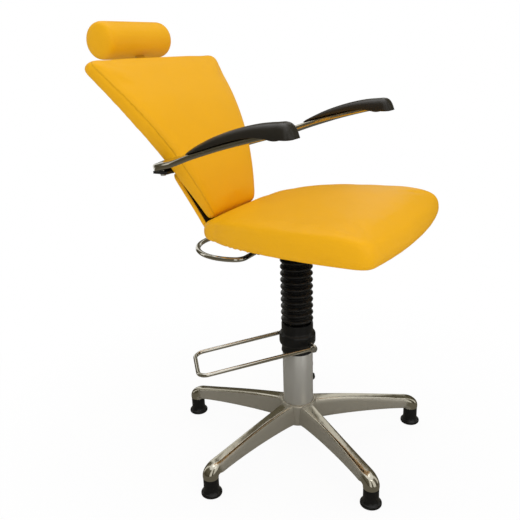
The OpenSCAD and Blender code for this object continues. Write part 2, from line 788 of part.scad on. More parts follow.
module gas_rod() {
    color([0.8, 0.8, 0.82]) difference() {
        union() {
            translate([gas_x, gas_pin_y - gas_rod_l, gas_z]) rotate([-90, 0, 0])
                cylinder(d = gas_rod_d, h = gas_rod_l - gas_eye_d * 0.3);
            translate([gas_x, gas_pin_y, gas_z]) rotate([0, 90, 0])
                cylinder(d = gas_eye_d, h = gas_eye_w, center = true);
        }
        translate([gas_x, gas_pin_y, gas_z]) rotate([0, 90, 0])
            cylinder(r = gas_pin_d / 2 + gas_slack, h = 2 * gas_eye_w, center = true);
    }
}

// Back frame: +Y up the rake, +Z out of the front face
module in_back() {
    translate([0, back_y, back_z]) rotate([90 - back_rake, 0, 0]) children();
}
function bend_of(l) = sqrt(back_r * back_r - pow(l - back_l / 2, 2)) - back_r + back_bulge;
function thickness(l) = mix(back_bottom_t, back_t, min(max(l / back_taper_l, 0), 1));

// Back outline with its bottom edge at height low, from the bottom middle to the top middle
function back_half(low) = let (top = back_top_w / 2, slope = (back_top_w - back_bottom_w) / 2 / back_l,
        base = back_bottom_w / 2 + slope * low, rb = back_corner_low, rt = back_corner_high, high = back_l)
    concat([[0, low], [base * 0.5, low]],
        [for (t = [0 : 0.25 : 1]) bend3([base - rb, low], [base, low], [base + slope * rb, low + rb], t)],
        [for (t = [0.2 : 0.2 : 0.8]) bend3([base + slope * rb, low + rb],
            [(base + top) / 2 + back_side_swell, (low + high) / 2], [top - slope * rt, high - rt], t)],
        [for (t = [0 : 0.2 : 1]) bend3([top - slope * rt, high - rt], [top + slope * back_corner_ease, high],
            [top - rt * 1.4, high + back_top_ease], t)],
        [[top * 0.5, high + back_top_swell], [0, high + back_top_swell]]);
back_loop = whole(back_half(0));
pocket_loop = whole(back_half(pocket_low));

function back_ring(d, share) = [for (q = inset(back_loop, d))
    [q[0], q[1], bend_of(q[1]) - thickness(q[1]) * (1 - share)]];
function back_top_ring(d, f) = [for (q = shrunk(inset(back_loop, d), [0, back_l * 0.56], f))
    [q[0], q[1], bend_of(q[1]) + back_crown * (1 - f * f)]];
function back_pocket_ring(f, depth) = [for (q = shrunk(inset(pocket_loop, pocket_inset - gap), [0, back_l * 0.6], f))
    [q[0], q[1], bend_of(q[1]) - back_t + depth]];

// Rings of the back's side: share of its inset and share of its thickness
back_side_shares = [[0.429, 0], [0.143, 0.1], [0.024, 0.3], [0, 0.5], [0.086, 0.72], [0.286, 0.88],
    [0.571, 0.965], [1, 1]];

// Back cushion: crowned front, drawn-in sides, and a pocket for the board at the rear
module back_cushion() {
    color([0.95, 0.68, 0.12]) in_back() skin(concat(
        [for (f = [0.14, 0.32, 0.5, 0.68, 0.85, 1]) back_pocket_ring(f, pocket_d)],
        [back_pocket_ring(1, 0)],
        [for (s = back_side_shares) back_ring(s[0] * back_side_inset, s[1])],
        [for (f = [0.84, 0.62, 0.4, 0.18]) back_top_ring(back_side_inset, f)]));
}

// Curved sheet between two depths behind the front face of the back
module curved_sheet(edge, depth, t) {
    in_back() intersection() {
        translate([0, 0, -2 * back_t]) linear_extrude(height = 3 * back_t) polygon(inset(pocket_loop, edge));
        difference() {
            bend_cylinder(depth);
            bend_cylinder(depth + t);
        }
    }
}

module bend_cylinder(depth) {
    translate([0, back_l / 2, back_bulge - back_r - depth]) rotate([0, 90, 0])
        cylinder(r = back_r, h = 2 * back_top_w, center = true, $fn = 180);
}

module frame_screw_places() {
    in_back() for (sx = [-1, 1], l = [frame_screw_low_l, frame_screw_high_l])
        translate([sx * frame_x, l, bend_of(l) - back_t]) children();
}

module back_board() {
    color([0.72, 0.55, 0.36]) difference() {
        curved_sheet(pocket_inset, back_t - back_panel_t - back_board_t - gap, back_board_t);
        frame_screw_places() cylinder(r = screw_d / 2 + run, h = back_panel_t + back_board_t * 0.8);
        guide_screw_places() rotate([90, 0, 0]) cylinder(r = screw_d / 2 + run, h = pocket_d * 1.6);
    }
}

module back_panel() {
    color([0.93, 0.66, 0.13]) difference() {
        curved_sheet(pocket_inset, back_t - back_panel_t, back_panel_t);
        frame_screw_places() translate([0, 0, -back_t]) cylinder(r = screw_d / 2 + gap, h = 2 * back_t);
        guide_screw_places() rotate([90, 0, 0]) cylinder(r = screw_d / 2 + gap, h = pocket_d * 2);
    }
}

// Point of the side view at length l and depth d behind the front face, and the frame bars' middle line
function rear_point(l, d) = [back_y + l * sin(back_rake) - (bend_of(l) - d) * cos(back_rake),
    back_z + l * cos(back_rake) + (bend_of(l) - d) * sin(back_rake)];
bar_path = concat([[hinge_y, hinge_z], [seat_rear + bar_step, hinge_z + bar_rise],
    [seat_rear + bar_step, back_z - bar_low], [back_y + bar_turn_y, back_z - bar_turn_low]],
    [for (s = bar_path_shares) rear_point(mix(bar_first_l, bar_last_l, s), back_t + frame_t / 2 + gap)]);
function strip_side(p, d) = [for (i = [0 : len(p) - 1])
    let (t = unit(travel(p, i))) p[i] + d * [t[1], -t[0]]];
function strip(p, t) = concat(strip_side(p, t / 2), [for (i = [len(p) - 1 : -1 : 0]) strip_side(p, -t / 2)[i]]);

module back_frame() {
    color([0.12, 0.12, 0.12]) difference() {
        union() {
            mirrored() translate([frame_x - frame_w / 2, 0, 0]) rotate([90, 0, 90])
                linear_extrude(height = frame_w) polygon(strip(bar_path, frame_t));
            mirrored() translate([barrel_in, hinge_y, hinge_z]) rotate([0, 90, 0])
                cylinder(d = barrel_d, h = barrel_out - barrel_in);
            translate([-cross_w / 2, cross_y, arm_seat_z - cross_t]) cube([cross_w, cross_d, cross_t]);
            gas_ear();
        }
        hinge_bore(hinge_pin_d / 2 + run);
        frame_screw_places() translate([0, 0, -2 * back_t]) cylinder(r = screw_d / 2 + run, h = 3 * back_t);
        mirrored() arm_bolt_places() translate([0, 0, -2 * cross_t]) cylinder(r = arm_bolt_d / 2 + run, h = 3 * cross_t);
        gas_pin_bore(gas_pin_d / 2 + run);
    }
}

// Ear under the hinge barrel that pushes the gas spring
module gas_ear() {
    x = gas_x + gas_eye_w / 2 + gas_ear_gap;
    translate([x, gas_pin_y, gas_pin_z]) rotate([0, 90, 0]) cylinder(d = gas_eye_d, h = gas_ear_t);
    translate([x, 0, 0]) rotate([90, 0, 90]) linear_extrude(height = gas_ear_t) polygon([
        [hinge_y - gas_eye_d * 0.4, hinge_z], [gas_pin_y - gas_eye_d / 2, gas_pin_z],
        [gas_pin_y + gas_eye_d / 2, gas_pin_z], [hinge_y + gas_eye_d * 0.4, hinge_z]]);
}

module gas_pin_bore(r) {
    translate([gas_x, gas_pin_y, gas_pin_z]) rotate([0, 90, 0]) cylinder(r = r, h = plate_w / 2);
}

module gas_pin() {
    start = gas_x - gas_eye_w / 2 - gas_ear_gap;
    color([0.65, 0.65, 0.67]) translate([start, gas_pin_y, gas_pin_z]) rotate([0, 90, 0])
        cylinder(d = gas_pin_d, h = gas_eye_w + 2 * gas_ear_gap + gas_ear_t);
}

// Upholstered panel behind the frame bars: its upper rows in shares of
// [length up the back to the cross plate, thickness behind the bars, thickness, half width]
shell_shares = [[0.4812, 0.2970, 1.0000, 0.9016], [0.9002, 0.6691, 1.0000, 0.9918],
    [0.9859, 0.7149, 0.8462, 1.0000], [1.0402, 0.7450, 0.4615, 0.9836]];

// All its rows, from the bottom up: [y, z, share of the thickness, share of the half width]
shell_rows = concat([
    [seat_rear + bar_step + frame_t / 2 + shell_low_step / 2, hinge_z + bar_rise, 0.3077, 0.7213],
    [seat_rear + bar_step + frame_t / 2 + shell_low_step, hinge_z + shell_low_rise, 0.6923, 0.7623],
    [back_y + bar_turn_y + bar_rise - frame_t * 0.4, back_z - 2 * shell_t, 1, 0.7951],
    [back_y + bar_turn_y + shell_t, back_z - bar_rise, 1, 0.8279]],
    [for (q = shell_shares) let (p = rear_point(q[0] * cross_l, back_t + frame_t + q[1] * shell_t))
        [p[0], p[1], q[2], q[3]]]);

module lower_shell() {
    path = [for (r = shell_rows) [0, r[0], r[1]]];
    color([0.93, 0.66, 0.13]) skin([for (i = [0 : len(path) - 1])
        let (r = shell_rows[i]) station(path[i], travel(path, i),
            rounded(2 * r[3] * shell_half_w, r[2] * shell_t, r[2] * shell_t * 0.45, 3))]);
}

module back_screws() {
    h = back_panel_t + back_board_t * 0.7 + frame_t;
    color([0.6, 0.6, 0.62]) frame_screw_places() union() {
        translate([0, 0, -frame_t - screw_head_h - 3 * gap]) cylinder(d = screw_head_d, h = screw_head_h);
        translate([0, 0, -frame_t - 3 * gap - cut]) cylinder(d = screw_d, h = h);
    }
}

// Arm bar rows from the rear end on the cross plate to the front: shares of the way out, of the
// way back from the front end and of the lift, then roll angle, thickness share and width share
arm_shares = [[0, 1.0026, 0, 0, 1.2, 0.74], [0.2262, 1, 0, 2, 1.18, 0.7],
    [0.4107, 0.9698, 0.0275, 9, 1.18, 0.8], [0.6071, 0.895, 0.1101, 16, 1.2, 1],
    [0.7798, 0.7979, 0.2018, 18, 1.12, 1], [0.9167, 0.6745, 0.3211, 16, 1.04, 1],
    [1, 0.5223, 0.5138, 11, 1, 1], [1.0119, 0.3386, 0.7156, 4, 1, 1],
    [1, 0.1286, 0.8991, 0, 1, 1], [0.994, 0, 1, 0, 1, 1]];
arm_points = [for (r = arm_shares) [mix(arm_root_x, arm_x, r[0]), mix(arm_front_y, arm_rear_y, r[1]),
    r[2] * arm_lift + arm_seat_z + 2 * gap + arm_t * r[4] / 2
    + max(r[3] - arm_flat_roll, 0) * arm_w * arm_lean_share]];
arm_form = smooth([for (r = arm_shares) [r[3], r[4], r[5]]], 3);
arm_path = smooth(arm_points, 3);

module arm_bolt_places() {
    for (s = arm_bolt_shares) translate([s * cross_w, arm_rear_y, arm_seat_z - cross_t]) children();
}

// Section of the bar, rolled so that its outer edge is the lower one
function arm_section(f) = let (c = cos(f[0]), s = sin(f[0]))
    [for (q = rounded(arm_w * f[2], arm_t * f[1], arm_t * 0.36, 2)) [c * q[0] + s * q[1], c * q[1] - s * q[0]]];

module arm_bar() {
    color([0.78, 0.77, 0.74]) difference() {
        skin([for (i = [0 : len(arm_path) - 1]) station(arm_path[i], travel(arm_path, i), arm_section(arm_form[i]))]);
        arm_bolt_places() cylinder(r = arm_bolt_d / 2 + run, h = cross_t + arm_t * 0.75);
    }
}
module arm_bar_right() { mirror([1, 0, 0]) arm_bar(); }
module arm_bar_left() { arm_bar(); }

// Pad: its seat face lies over the bar, its skirt comes down beside the bar towards the front,
// and its nose hangs over the bar's front end
pad_low = arm_t / 2 + 1.5 * gap;
pad_h = 19;
pad_skirt = 19.6;
pad_nose_in = 5 * gap;
pad_nose_l = 25;
pad_slot = arm_w / 2 + gap;
// Rows over the bar: shares of the way back from its front end, of the width, height and skirt
pad_shares = [[0.5696, 0.5, 0.1342, -0.035], [0.5328, 0.68, 0.3342, -0.035], [0.4698, 0.8, 0.5789, -0.015],
    [0.3963, 0.9, 0.7895, 0], [0.3018, 0.98, 0.9474, 0], [0.2231, 1, 1, 0.0255],
    [0.1444, 1, 0.9474, 0.2296], [0.0787, 1, 0.8158, 0.6122], [0.0446, 1, 0.7158, 0.8776],
    [0.021, 1, 0.6526, 0.9796]];
// Rows of the nose: shares of its length, of the width, height and skirt
nose_shares = [[0.36, 0.97, 0.4974, 1.0077], [0.6, 0.91, 0.2658, 1.0128], [0.8, 0.81, -0.1079, 1.0026],
    [0.94, 0.67, -0.6079, 0.977], [1, 0.52, -0.8711, 0.9362]];
// All rows from the rear tip to the nose: [y, width share, low edge, high edge, roof of the slot]
pad_rows = concat([for (q = pad_shares) let (low = pad_low - q[3] * pad_skirt)
        [mix(arm_front_y, arm_rear_y, q[0]), q[1], low, pad_low + q[2] * pad_h, max(low, pad_low)]],
    [for (n = [1, 0]) [arm_front_y - pad_nose_in - (1 - n) * gap, 1, pad_low - pad_skirt, pad_low + pad_h * 0.6053,
        pad_low - (1 - n) * pad_skirt]],
    [for (q = nose_shares) let (low = pad_low - q[3] * pad_skirt)
        [arm_front_y - q[0] * pad_nose_l, q[1], low, pad_low + q[2] * pad_h, low]]);
// Middle of the bar and its roll at y
function arm_spot(y) = let (k = [for (i = [1 : len(arm_path) - 1]) if (arm_path[i][1] <= y) i],
        last = len(arm_path) - 1, j = len(k) == 0 ? last : k[0], a = arm_path[j - 1], b = arm_path[j],
        s = len(k) == 0 ? 1 : (a[1] - y) / (a[1] - b[1]))
    [mix(a[0], b[0], s), mix(a[2], b[2], s), mix(arm_form[j - 1][0], arm_form[j][0], s)];
function arm_rise(y) = norm([2 * pad_step, arm_spot(y + pad_step)[1] - arm_spot(y - pad_step)[1]])
    / (2 * pad_step);
// Section of the pad: shares of its half width and of its height, from its right rim over the top
pad_section_shares = [[0.92, 0], [1, 0.1], [1, 0.3], [0.96, 0.56], [0.87, 0.77], [0.7, 0.92], [0.45, 0.985], [0.15, 1]];
function pad_ring(r) = let (w = r[1] * arm_pad_w / 2, m = arm_spot(r[0]), k = arm_rise(r[0]),
        c = cos(m[2]), s = sin(m[2]), slot = min(pad_slot, w * 0.8),
        over = [for (q = pad_section_shares) [q[0] * w, mix(r[2], r[3], q[1])]],
        back = [for (i = [len(over) - 1 : -1 : 0]) [-over[i][0], over[i][1]]],
        under = [[-slot, r[2]], [-slot, r[4]], [slot, r[4]], [slot, r[2]]])
    [for (q = concat(over, back, under)) [m[0] + c * q[0] + s * q[1] * k, r[0], m[1] + c * q[1] * k - s * q[0]]];

module arm_pad() {
    color([0.13, 0.11, 0.09]) skin([for (r = pad_rows) pad_ring(r)]);
}
module arm_pad_right() { mirror([1, 0, 0]) arm_pad(); }
module arm_pad_left() { arm_pad(); }

module arm_bolts() {
    color([0.6, 0.6, 0.62]) mirrored() arm_bolt_places() union() {
        translate([0, 0, -arm_bolt_head_h]) cylinder(d = arm_bolt_head_d, h = arm_bolt_head_h, $fn = 6);
        translate([0, 0, -cut]) cylinder(d = arm_bolt_d, h = cross_t + arm_t * 0.7);
    }
}

// Headrest frame: +Z up the bar, +Y out of the rear face
module in_bar() {
    translate([0, roll_axis_y, roll_axis_z]) rotate([-bar_rake, 0, 0]) children();
}

module guide_screw_places() {
    in_bar() for (sx = [-1, 1], sz = [-1, 1])
        translate([sx * guide_screw_x, -bar_offset + guide_flange_t, guide_z + guide_len / 2 + sz * guide_screw_z])
            children();
}

module headrest_bracket() {
    slot_t = bar_t + 2 * bar_slot;
    color([0.12, 0.12, 0.12]) difference() {
        in_bar() difference() {
            union() {
                translate([-guide_w / 2, -bar_offset, guide_z])
                    cube([guide_w, bar_offset + bar_y + bar_t / 2 + bar_slot + guide_wall, guide_len]);
                translate([-guide_flange_w / 2, -bar_offset, guide_z])
                    cube([guide_flange_w, guide_flange_t, guide_len]);
            }
            translate([-bar_w / 2 - bar_slot, bar_y - slot_t / 2, guide_z - cut])
                cube([bar_w + 2 * bar_slot, slot_t, guide_len + 2 * cut]);
            translate([0, bar_y, guide_z + guide_len / 2]) rotate([-90, 0, 0])
                cylinder(r = knob_stud_d / 2 + run, h = bar_w);
        }
        guide_screw_places() rotate([90, 0, 0]) translate([0, 0, -cut])
            cylinder(r = screw_d / 2 + run, h = 2 * guide_flange_t);
    }
}

module bracket_screws() {
    color([0.6, 0.6, 0.62]) guide_screw_places() rotate([90, 0, 0]) union() {
        translate([0, 0, -screw_head_h]) cylinder(d = screw_head_d, h = screw_head_h);
        translate([0, 0, -cut]) cylinder(d = screw_d, h = guide_flange_t + back_panel_t + back_board_t * 0.7);
    }
}

module clamp_knob() {
    y = bar_t / 2 + bar_slot + guide_wall + gap;
    color([0.09, 0.09, 0.09]) in_bar() translate([0, bar_y, guide_z + guide_len / 2]) rotate([-90, 0, 0]) union() {
        translate([0, 0, bar_t / 2 + gap]) cylinder(d = knob_stud_d, h = y);
        translate([0, 0, y]) cylinder(d = knob_neck_d, h = knob_neck_h + cut);
        translate([0, 0, y + knob_neck_h]) difference() {
            cylinder(d = knob_d, h = knob_h);
            for (k = [0 : knob_lobes - 1]) rotate([0, 0, k * 360 / knob_lobes])
                translate([knob_d * 0.6, 0, -cut]) cylinder(d = knob_d * 0.34, h = knob_h + 2 * cut);
        }
    }
}

module headrest_bar() {
    color([0.8, 0.8, 0.8]) in_bar() translate([-bar_w / 2, bar_y - bar_t / 2, -bar_len])
        cube([bar_w, bar_t, bar_len - core_d / 2 + core_sink]);
}

module headrest_core() {
    color([0.72, 0.55, 0.36]) in_bar() difference() {
        rotate([0, 90, 0]) cylinder(d = core_d, h = core_len, center = true);
        bar_slot_cut(-core_d, core_d / 2 + core_sink + gap);
    }
}

module bar_slot_cut(z, h) {
    translate([-bar_w / 2 - gap, bar_y - bar_t / 2 - gap, z]) cube([bar_w + 2 * gap, bar_t + 2 * gap, h]);
}

// Roll: a soft cylinder with rounded, slightly domed ends: rows of [x share, radius share]
roll_shares = [[-1, 0.3], [-0.995, 0.66], [-0.975, 0.85], [-0.94, 0.95], [-0.88, 0.99], [-0.5, 1], [0, 1.005],
    [0.5, 1], [0.88, 0.99], [0.94, 0.95], [0.975, 0.85], [0.995, 0.66], [1, 0.3]];

module headrest_roll() {
    ring = around(roll_d / 2, 24);
    color([0.95, 0.68, 0.12]) in_bar() difference() {
        rotate([0, 90, 0]) skin([for (r = roll_shares)
            [for (q = ring) [q[0] * r[1], q[1] * r[1], r[0] * roll_len / 2]]]);
        rotate([0, 90, 0]) cylinder(r = core_d / 2 + gap, h = core_len + 2 * gap, center = true);
        bar_slot_cut(-roll_d, roll_d);
    }
}

star_base();
glide_feet();
glide_studs();
hub_cap();
column_tube();
column_plug();
pump_cylinder();
pump_head();
pump_boot();
bellows();
pump_lever();
lever_shaft();
lever_nuts();
piston_rod();
bellows_ring();
thrust_washer();
swivel_plate();
seat_rails();
seat_board();
seat_cushion();
seat_screws();
hinge_pin();
ring_ears();
gas_cylinder();
gas_anchor();
release_ring();
ring_bushes();
gas_rod();
back_frame();
gas_pin();
back_board();
back_cushion();
back_panel();
lower_shell();
back_screws();
arm_bar_left();
arm_bar_right();
arm_pad_left();
arm_pad_right();
arm_bolts();
headrest_bracket();
bracket_screws();
clamp_knob();
headrest_bar();
headrest_core();
headrest_roll();
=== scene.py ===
"""Looks of the threading chair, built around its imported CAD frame. Lengths in the code are in
millimetres in the chair's frame (+Z up, the front faces -Y) and turn into metres in the meshes."""

from math import atan2, comb, cos, pi, radians, sin, sqrt

import bpy
import numpy as np
from mathutils import Matrix, Vector

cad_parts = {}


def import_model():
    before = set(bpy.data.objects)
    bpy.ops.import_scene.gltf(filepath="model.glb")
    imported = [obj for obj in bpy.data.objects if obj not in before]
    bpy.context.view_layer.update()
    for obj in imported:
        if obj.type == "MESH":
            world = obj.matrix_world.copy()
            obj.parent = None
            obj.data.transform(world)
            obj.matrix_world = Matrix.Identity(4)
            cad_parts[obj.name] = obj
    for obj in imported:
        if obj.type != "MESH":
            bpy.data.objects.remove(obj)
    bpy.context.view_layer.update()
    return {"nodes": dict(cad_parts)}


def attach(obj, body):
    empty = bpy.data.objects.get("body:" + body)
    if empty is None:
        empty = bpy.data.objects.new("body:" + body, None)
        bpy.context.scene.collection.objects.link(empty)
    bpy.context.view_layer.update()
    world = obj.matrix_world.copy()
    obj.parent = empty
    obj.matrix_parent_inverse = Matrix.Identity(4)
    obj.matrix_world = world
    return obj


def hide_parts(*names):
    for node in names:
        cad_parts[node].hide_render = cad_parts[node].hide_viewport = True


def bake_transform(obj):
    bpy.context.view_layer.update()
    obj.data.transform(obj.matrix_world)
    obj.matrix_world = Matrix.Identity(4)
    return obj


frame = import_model()
nodes = frame["nodes"]
scene = bpy.context.scene
MM = 0.001


# Curves

def curve(*given):
    """Curve of control points, with an array of t after them: the sum over the points k of
    C(n, k) (1-t)^(n-k) t^k times the point."""
    *points, t = given
    n, t = len(points) - 1, np.asarray(t, float)[:, None]
    return sum(comb(n, k) * (1 - t) ** (n - k) * t ** k * np.array(point, float)
               for k, point in enumerate(points))


def smooth(rows, steps):
    """Curve through all rows: between rows b and c, with a before and d after, a row is half of
    2b + (c-a)t + (2a-5b+4c-d)t^2 + (3b-a-3c+d)t^3."""
    rows = np.asarray(rows, float)
    ends = np.vstack([rows[:1], rows, rows[-1:]])
    a, b, c, d = (ends[k:len(ends) - 3 + k, None] for k in range(4))
    t = (np.arange(steps) / steps)[None, :, None]
    run = (2 * b + (c - a) * t + (2 * a - 5 * b + 4 * c - d) * t ** 2
           + (3 * b - a - 3 * c + d) * t ** 3) / 2
    return np.vstack([run.reshape(-1, rows.shape[1]), rows[-1:]])


def even(points, count):
    """count points at equal lengths along the closed line through the given points."""
    line = np.vstack([points, points[:1]])
    length = np.concatenate([[0], np.cumsum(np.linalg.norm(np.diff(line, axis=0), axis=1))])
    at = np.linspace(0, length[-1], count + 1)[:-1]
    return np.stack([np.interp(at, length, column) for column in line.T], 1)


def whole(half):
    """Outline from a half outline on x > 0 that starts and ends on the middle line."""
    half = np.asarray(half, float)
    return np.vstack([half, half[-2:0:-1] * [-1, 1]])


def inset(loop, depth):
    """Each point moved inwards by depth, square to the line through its two neighbours."""
    along = unit(np.roll(loop, -1, 0) - np.roll(loop, 1, 0))
    return loop + depth * np.stack([-along[:, 1], along[:, 0]], 1)


def columns(*parts):
    return np.column_stack(parts)


def unit(rows):
    """Rows made one long, apart from rows of zeros."""
    return rows / np.maximum(np.linalg.norm(rows, axis=-1, keepdims=True), 1e-9)


def ease(low, high, x):
    """0 below low, 1 above high, 3t^2 - 2t^3 between them."""
    t = np.clip((np.asarray(x, float) - low) / (high - low), 0, 1)
    return t * t * (3 - 2 * t)


# Meshes

def linked(name, data):
    made = bpy.data.objects.new(name, data)
    scene.collection.objects.link(made)
    return made


def piece(name, points, faces, sharp=35):
    """A mesh object at the origin. The faces are turned round if they enclose a negative volume."""
    points = np.asarray(points, float) * MM
    volume = sum(np.sum(points[f[:, 0]] * np.cross(points[f[:, k]], points[f[:, k + 1]]))
                 for f in faces for k in range(1, f.shape[1] - 1))
    way = 1 if volume > 0 else -1
    mesh = bpy.data.meshes.new(name)
    mesh.from_pydata(points.tolist(), [], [q for f in faces for q in f[:, ::way].tolist()])
    mesh.shade_smooth()
    if sharp:
        mesh.set_sharp_from_angle(angle=radians(sharp))
    return linked(name, mesh)


def skin_mesh(rings, loop=False):
    """Points and faces over rings[i, j]: a face joins points j and j+1 of rings i and i+1. With
    loop the last ring joins the first, and otherwise a fan onto its middle closes each end."""
    rings = np.asarray(rings, float)
    m, n = rings.shape[:2]
    i, j = np.arange(m if loop else m - 1)[:, None], np.arange(n)[None]
    near, far, following = i * n, (i + 1) % m * n, (j + 1) % n
    quads = np.stack([near + j, near + following, far + following, far + j], -1).reshape(-1, 4)
    points = rings.reshape(-1, 3)
    if loop:
        return points, [quads]
    k, following = j[0], following[0]
    points = np.vstack([points, rings[0].mean(0), rings[-1].mean(0)])
    first = np.stack([following, k, np.full(n, m * n)], 1)
    last = np.stack([k, following, np.full(n, m * n + 1)], 1) + np.array([1, 1, 0]) * (m - 1) * n
    return points, [quads, first, last]


def skin(name, rings, loop=False, sharp=35):
    return piece(name, *skin_mesh(rings, loop), sharp=sharp)


def several(name, meshes, sharp=35):
    """One object from several closed skins."""
    points, faces, start = [], [], 0
    for part, part_faces in meshes:
        points.append(part)
        faces += [f + start for f in part_faces]
        start += len(part)
    return piece(name, np.vstack(points), faces, sharp)


def circle(count, radius=1.0):
    """count points (r cos a, r sin a)."""
    a = np.arange(count) * 2 * pi / count
    return radius * np.stack([np.cos(a), np.sin(a)], 1)


def rounded(width, height, radius, steps):
    """Rectangle section with round corners: a quarter circle at each corner."""
    a = np.radians([90 * c + 90 * k / steps for c in range(4) for k in range(steps + 1)])
    side = np.repeat([[1, 1], [-1, 1], [-1, -1], [1, -1]], steps + 1, 0)
    middle = side * [width / 2 - radius, height / 2 - radius]
    return middle + radius * np.stack([np.cos(a), np.sin(a)], 1)


def sweep(path, sections, loop=False):
    """Rings along a path: path + across * x + rise * y for each section point (x, y), where
    across is square to +Z and to the travel, and rise is square to both."""
    path = np.asarray(path, float)
    travel = np.roll(path, -1, 0) - np.roll(path, 1, 0) if loop else np.gradient(path, axis=0)
    travel = unit(travel)
    across = unit(np.cross([[0.0, 0.0, 1.0]], travel))
    rise = np.cross(travel, across)
    sections = np.broadcast_to(sections, (len(path), *np.shape(sections)[-2:]))
    return path[:, None] + across[:, None] * sections[..., :1] + rise[:, None] * sections[..., 1:]


def lathe(profile, count):
    """Rings (r cos a, r sin a, z) for each profile point (r, z)."""
    profile = np.asarray(profile, float)[:, None]
    rings = np.empty((len(profile), count, 3))
    rings[..., :2], rings[..., 2:] = profile[..., :1] * circle(count), profile[..., 1:]
    return rings


def softened(profile, radius, steps, loop=False):
    """Profile with each corner replaced by a quadratic curve that starts radius before it."""
    p = np.asarray(profile, float)
    count, t = len(p), np.linspace(0, 1, steps + 1)
    out = []
    for k in range(count):
        if not loop and k in (0, count - 1):
            out.append(p[k:k + 1])
            continue
        before, after = p[k - 1] - p[k], p[(k + 1) % count] - p[k]
        cut = [v * min(radius / np.linalg.norm(v), 0.45) for v in (before, after)]
        out.append(curve(p[k] + cut[0], p[k], p[k] + cut[1], t))
    return np.vstack(out)


def turned(points, matrix):
    """Points carried by a 4x4 matrix."""
    m = np.array(matrix, float)
    return np.asarray(points, float) @ m[:3, :3].T + m[:3, 3]


def move(x, y, z):
    return Matrix.Translation((x, y, z))


def spin(degrees, axis):
    return Matrix.Rotation(radians(degrees), 4, axis)


def attribute(made, name, values):
    data = made.data.attributes.new(name, "FLOAT", "POINT").data
    data.foreach_set("value", np.full(len(data), values, np.float32))


def rows_of(collection, field):
    """Three numbers from each item of a mesh collection, as rows."""
    out = np.zeros(len(collection) * 3, np.float32)
    collection.foreach_get(field, out)
    return out.reshape(-1, 3).astype(float)


def places(mesh):
    """Vertex positions in millimetres."""
    return rows_of(mesh.vertices, "co") / MM


def put(mesh, at):
    """Moves the vertices to positions in millimetres."""
    mesh.vertices.foreach_set("co", (at * MM).astype(np.float32).ravel())


# Shader nodes

def plug_in(tree, made, inputs):
    """Sets a node's sockets to values or links them to other sockets, and gives its outputs."""
    for socket, value in inputs.items():
        if isinstance(value, bpy.types.NodeSocket):
            tree.links.new(value, made.inputs[socket])
        else:
            made.inputs[socket].default_value = value
    return made.outputs


def add(tree, kind, inputs=None, **settings):
    """Outputs of a new node with the given settings and inputs."""
    made = tree.nodes.new("ShaderNode" + kind)
    for key, value in settings.items():
        setattr(made, key, value)
    return plug_in(tree, made, inputs or {})


def calc(tree, operation, *values, clamp=False):
    return add(tree, "Math", dict(enumerate(values)), operation=operation, use_clamp=clamp)[0]


def ramp(tree, value, low, high, start=0.0, end=1.0):
    """start at low, end at high, smooth between them."""
    inputs = {"Value": value, "From Min": low, "From Max": high, "To Min": start, "To Max": end}
    return add(tree, "MapRange", inputs, interpolation_type="SMOOTHSTEP")["Result"]


def noise(tree, at, scale=1.0, detail=2.0, **more):
    return add(tree, "TexNoise", {"Vector": at, "Scale": scale, "Detail": detail, **more})


def blend_colour(tree, share, first, second):
    return add(tree, "Mix", {0: share, 6: first, 7: second}, data_type="RGBA")[2]


SOCKET_KINDS = {"Position": "Vector", "Draw": "Vector", "Tone": "Color"}


def effect(name, inputs, outputs, form):
    """A node group with named sockets. form takes its tree and its input sockets, and gives what
    goes to each output."""
    tree = bpy.data.node_groups.new(name, "ShaderNodeTree")
    for side, labels in (("INPUT", inputs), ("OUTPUT", outputs)):
        for label in labels.split():
            kind = "NodeSocket" + SOCKET_KINDS.get(label, "Float")
            tree.interface.new_socket(name=label, in_out=side, socket_type=kind)
    entry, leave = tree.nodes.new("NodeGroupInput"), tree.nodes.new("NodeGroupOutput")
    plug_in(tree, leave, form(tree, entry.outputs))
    return tree


def scaled(tree, given, size):
    """The given position divided by a size in millimetres."""
    inputs = {0: given["Position"], "Scale": calc(tree, "DIVIDE", 1 / MM, given[size])}
    return add(tree, "VectorMath", inputs, operation="SCALE")[0]


def uneven_tone(tree, given):
    """Tone made lighter and darker in soft patches: tone * (1 + amount * (noise - 0.5))."""
    at = scaled(tree, given, "Patch")
    patches = calc(tree, "SUBTRACT", noise(tree, at, detail=4.0, Roughness=0.6)["Fac"], 0.5)
    swing = calc(tree, "MULTIPLY_ADD", patches, given["Amount"], 1.0)
    toned = add(tree, "VectorMath", {0: given["Tone"], "Scale": swing}, operation="SCALE")
    return {"Tone": toned[0]}


def handled(tree, given):
    """Roughness that changes with fine smudges: roughness + spread * (noise - 0.5)."""
    at = scaled(tree, given, "Patch")
    smudge = noise(tree, at, detail=5.0, Roughness=0.65, Distortion=0.6)["Fac"]
    off = calc(tree, "SUBTRACT", smudge, 0.5)
    rough = calc(tree, "MULTIPLY_ADD", off, given["Spread"], given["Roughness"], clamp=True)
    return {"Roughness": rough}


def vinyl_grain(tree, given):
    """Pebbled skin: small rounded cells with finer creases, and a mask of the pores between
    them."""
    at = scaled(tree, given, "Cell")
    bent = {0: noise(tree, at, 0.6)["Color"], 1: (0.5, 0.5, 0.5), 2: at}
    bent = add(tree, "VectorMath", bent, operation="MULTIPLY_ADD")[0]
    edge = add(tree, "TexVoronoi", {"Vector": bent, "Scale": 1.0}, feature="DISTANCE_TO_EDGE")
    pebble = ramp(tree, edge["Distance"], 0.0, 0.32)
    crease = noise(tree, at, 2.6, 3.0)["Fac"]
    return {"Height": calc(tree, "MULTIPLY_ADD", crease, 0.35, pebble),
            "Pores": calc(tree, "SUBTRACT", 1.0, pebble, clamp=True)}


